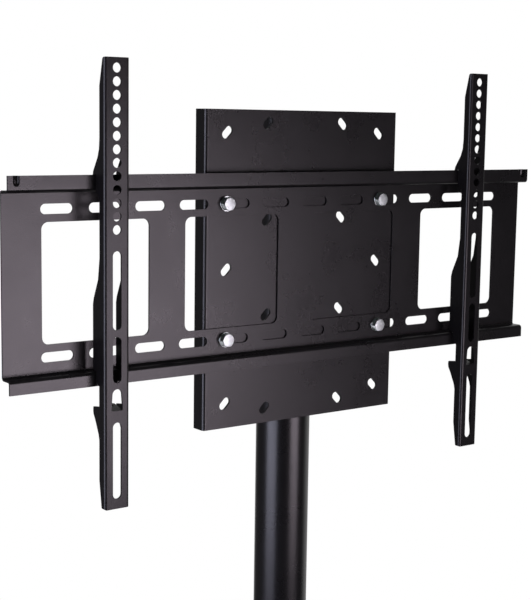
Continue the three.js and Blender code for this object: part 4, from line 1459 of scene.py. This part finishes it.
# %% The floor
FLOOR_HALF = 9.0
FLOOR_DEPTH = 0.02
FLOOR_GREY = 0.86
SHADOW_REACH = (0.7, 2.2)


def floor():
    """A pale floor that fades into the white background away from the stand."""
    square = rectangle(-FLOOR_HALF, -FLOOR_HALF, FLOOR_HALF, FLOOR_HALF)
    sheet = prism("floor", square, "Z", -FLOOR_DEPTH, 0)
    material = bpy.data.materials.new("floor")
    material.use_nodes = True
    tree = material.node_tree
    surface = fill(
        tree.nodes["Principled BSDF"],
        {"Base Color": (FLOOR_GREY, FLOOR_GREY, FLOOR_GREY, 1), "Roughness": 0.9,
         "Specular IOR Level": 0.1},
    )
    place = node(tree, "ShaderNodeTexCoord")
    distance = node(tree, "ShaderNodeVectorMath", operation="LENGTH")
    fade = node(
        tree, "ShaderNodeMapRange", {"From Min": SHADOW_REACH[0], "From Max": SHADOW_REACH[1]},
        interpolation_type="SMOOTHSTEP",
    )
    white = node(tree, "ShaderNodeEmission")
    blend = node(tree, "ShaderNodeMixShader")
    chain(
        tree,
        (place, "Object", distance, 0),
        (distance, "Value", fade, "Value"),
        (background_strength(tree), 0, white, "Strength"),
        (fade, "Result", blend, "Fac"),
        (surface, "BSDF", blend, 1),
        (white, "Emission", blend, 2),
        (blend, "Shader", tree.nodes["Material Output"], "Surface"),
    )
    sheet.data.materials.append(material)
    sheet.visible_glossy = False
    return sheet


floor()

# %% The lamps
MOUNT_Y = 0.03
POWER_PER_RADIANCE = 4


def softbox(name, azimuth, height, distance, width, tall, radiance, colour):
    """A large lamp at an azimuth to the right of the front, turned to the mount."""
    lamp = bpy.data.lights.new(name, "AREA")
    lamp.shape = "RECTANGLE"
    lamp.size = width
    lamp.size_y = tall
    lamp.energy = radiance * POWER_PER_RADIANCE * width * tall
    lamp.color = colour
    holder = add(name, lamp)
    angle = radians(azimuth)
    holder.location = (distance * sin(angle), MOUNT_Y - distance * cos(angle), height)
    level_aim = Vector((0, MOUNT_Y, height))
    holder.rotation_euler = (level_aim - holder.location).to_track_quat("-Z", "Y").to_euler()
    print(name, "at", [round(v, 2) for v in holder.location])


def floor_fill(height, size, energy):
    """A lamp overhead that keeps the floor white and isn't seen in reflections."""
    lamp = bpy.data.lights.new("floor_fill", "AREA")
    lamp.size = size
    lamp.energy = energy
    holder = add("floor_fill", lamp)
    holder.location = (0, 0, height)
    holder.visible_glossy = False
    print("floor_fill at", height)


softbox("front_softbox", azimuth=15, height=0.87, distance=2.0, width=1.22, tall=0.9,
        radiance=3.9, colour=(1.0, 0.87, 0.99))
softbox("left_softbox", azimuth=-85, height=1.00, distance=2.2, width=1.7, tall=1.45,
        radiance=4.1, colour=(0.80, 0.80, 1.0))
floor_fill(height=3.2, size=3.0, energy=75)

# %% [markdown]
# ## Colour view
#
# The colours are shown as they are written, with the Standard view transform. The visual model
# must stay in the box of the frame.

# %% Finish
bpy.context.scene.view_settings.view_transform = "Standard"
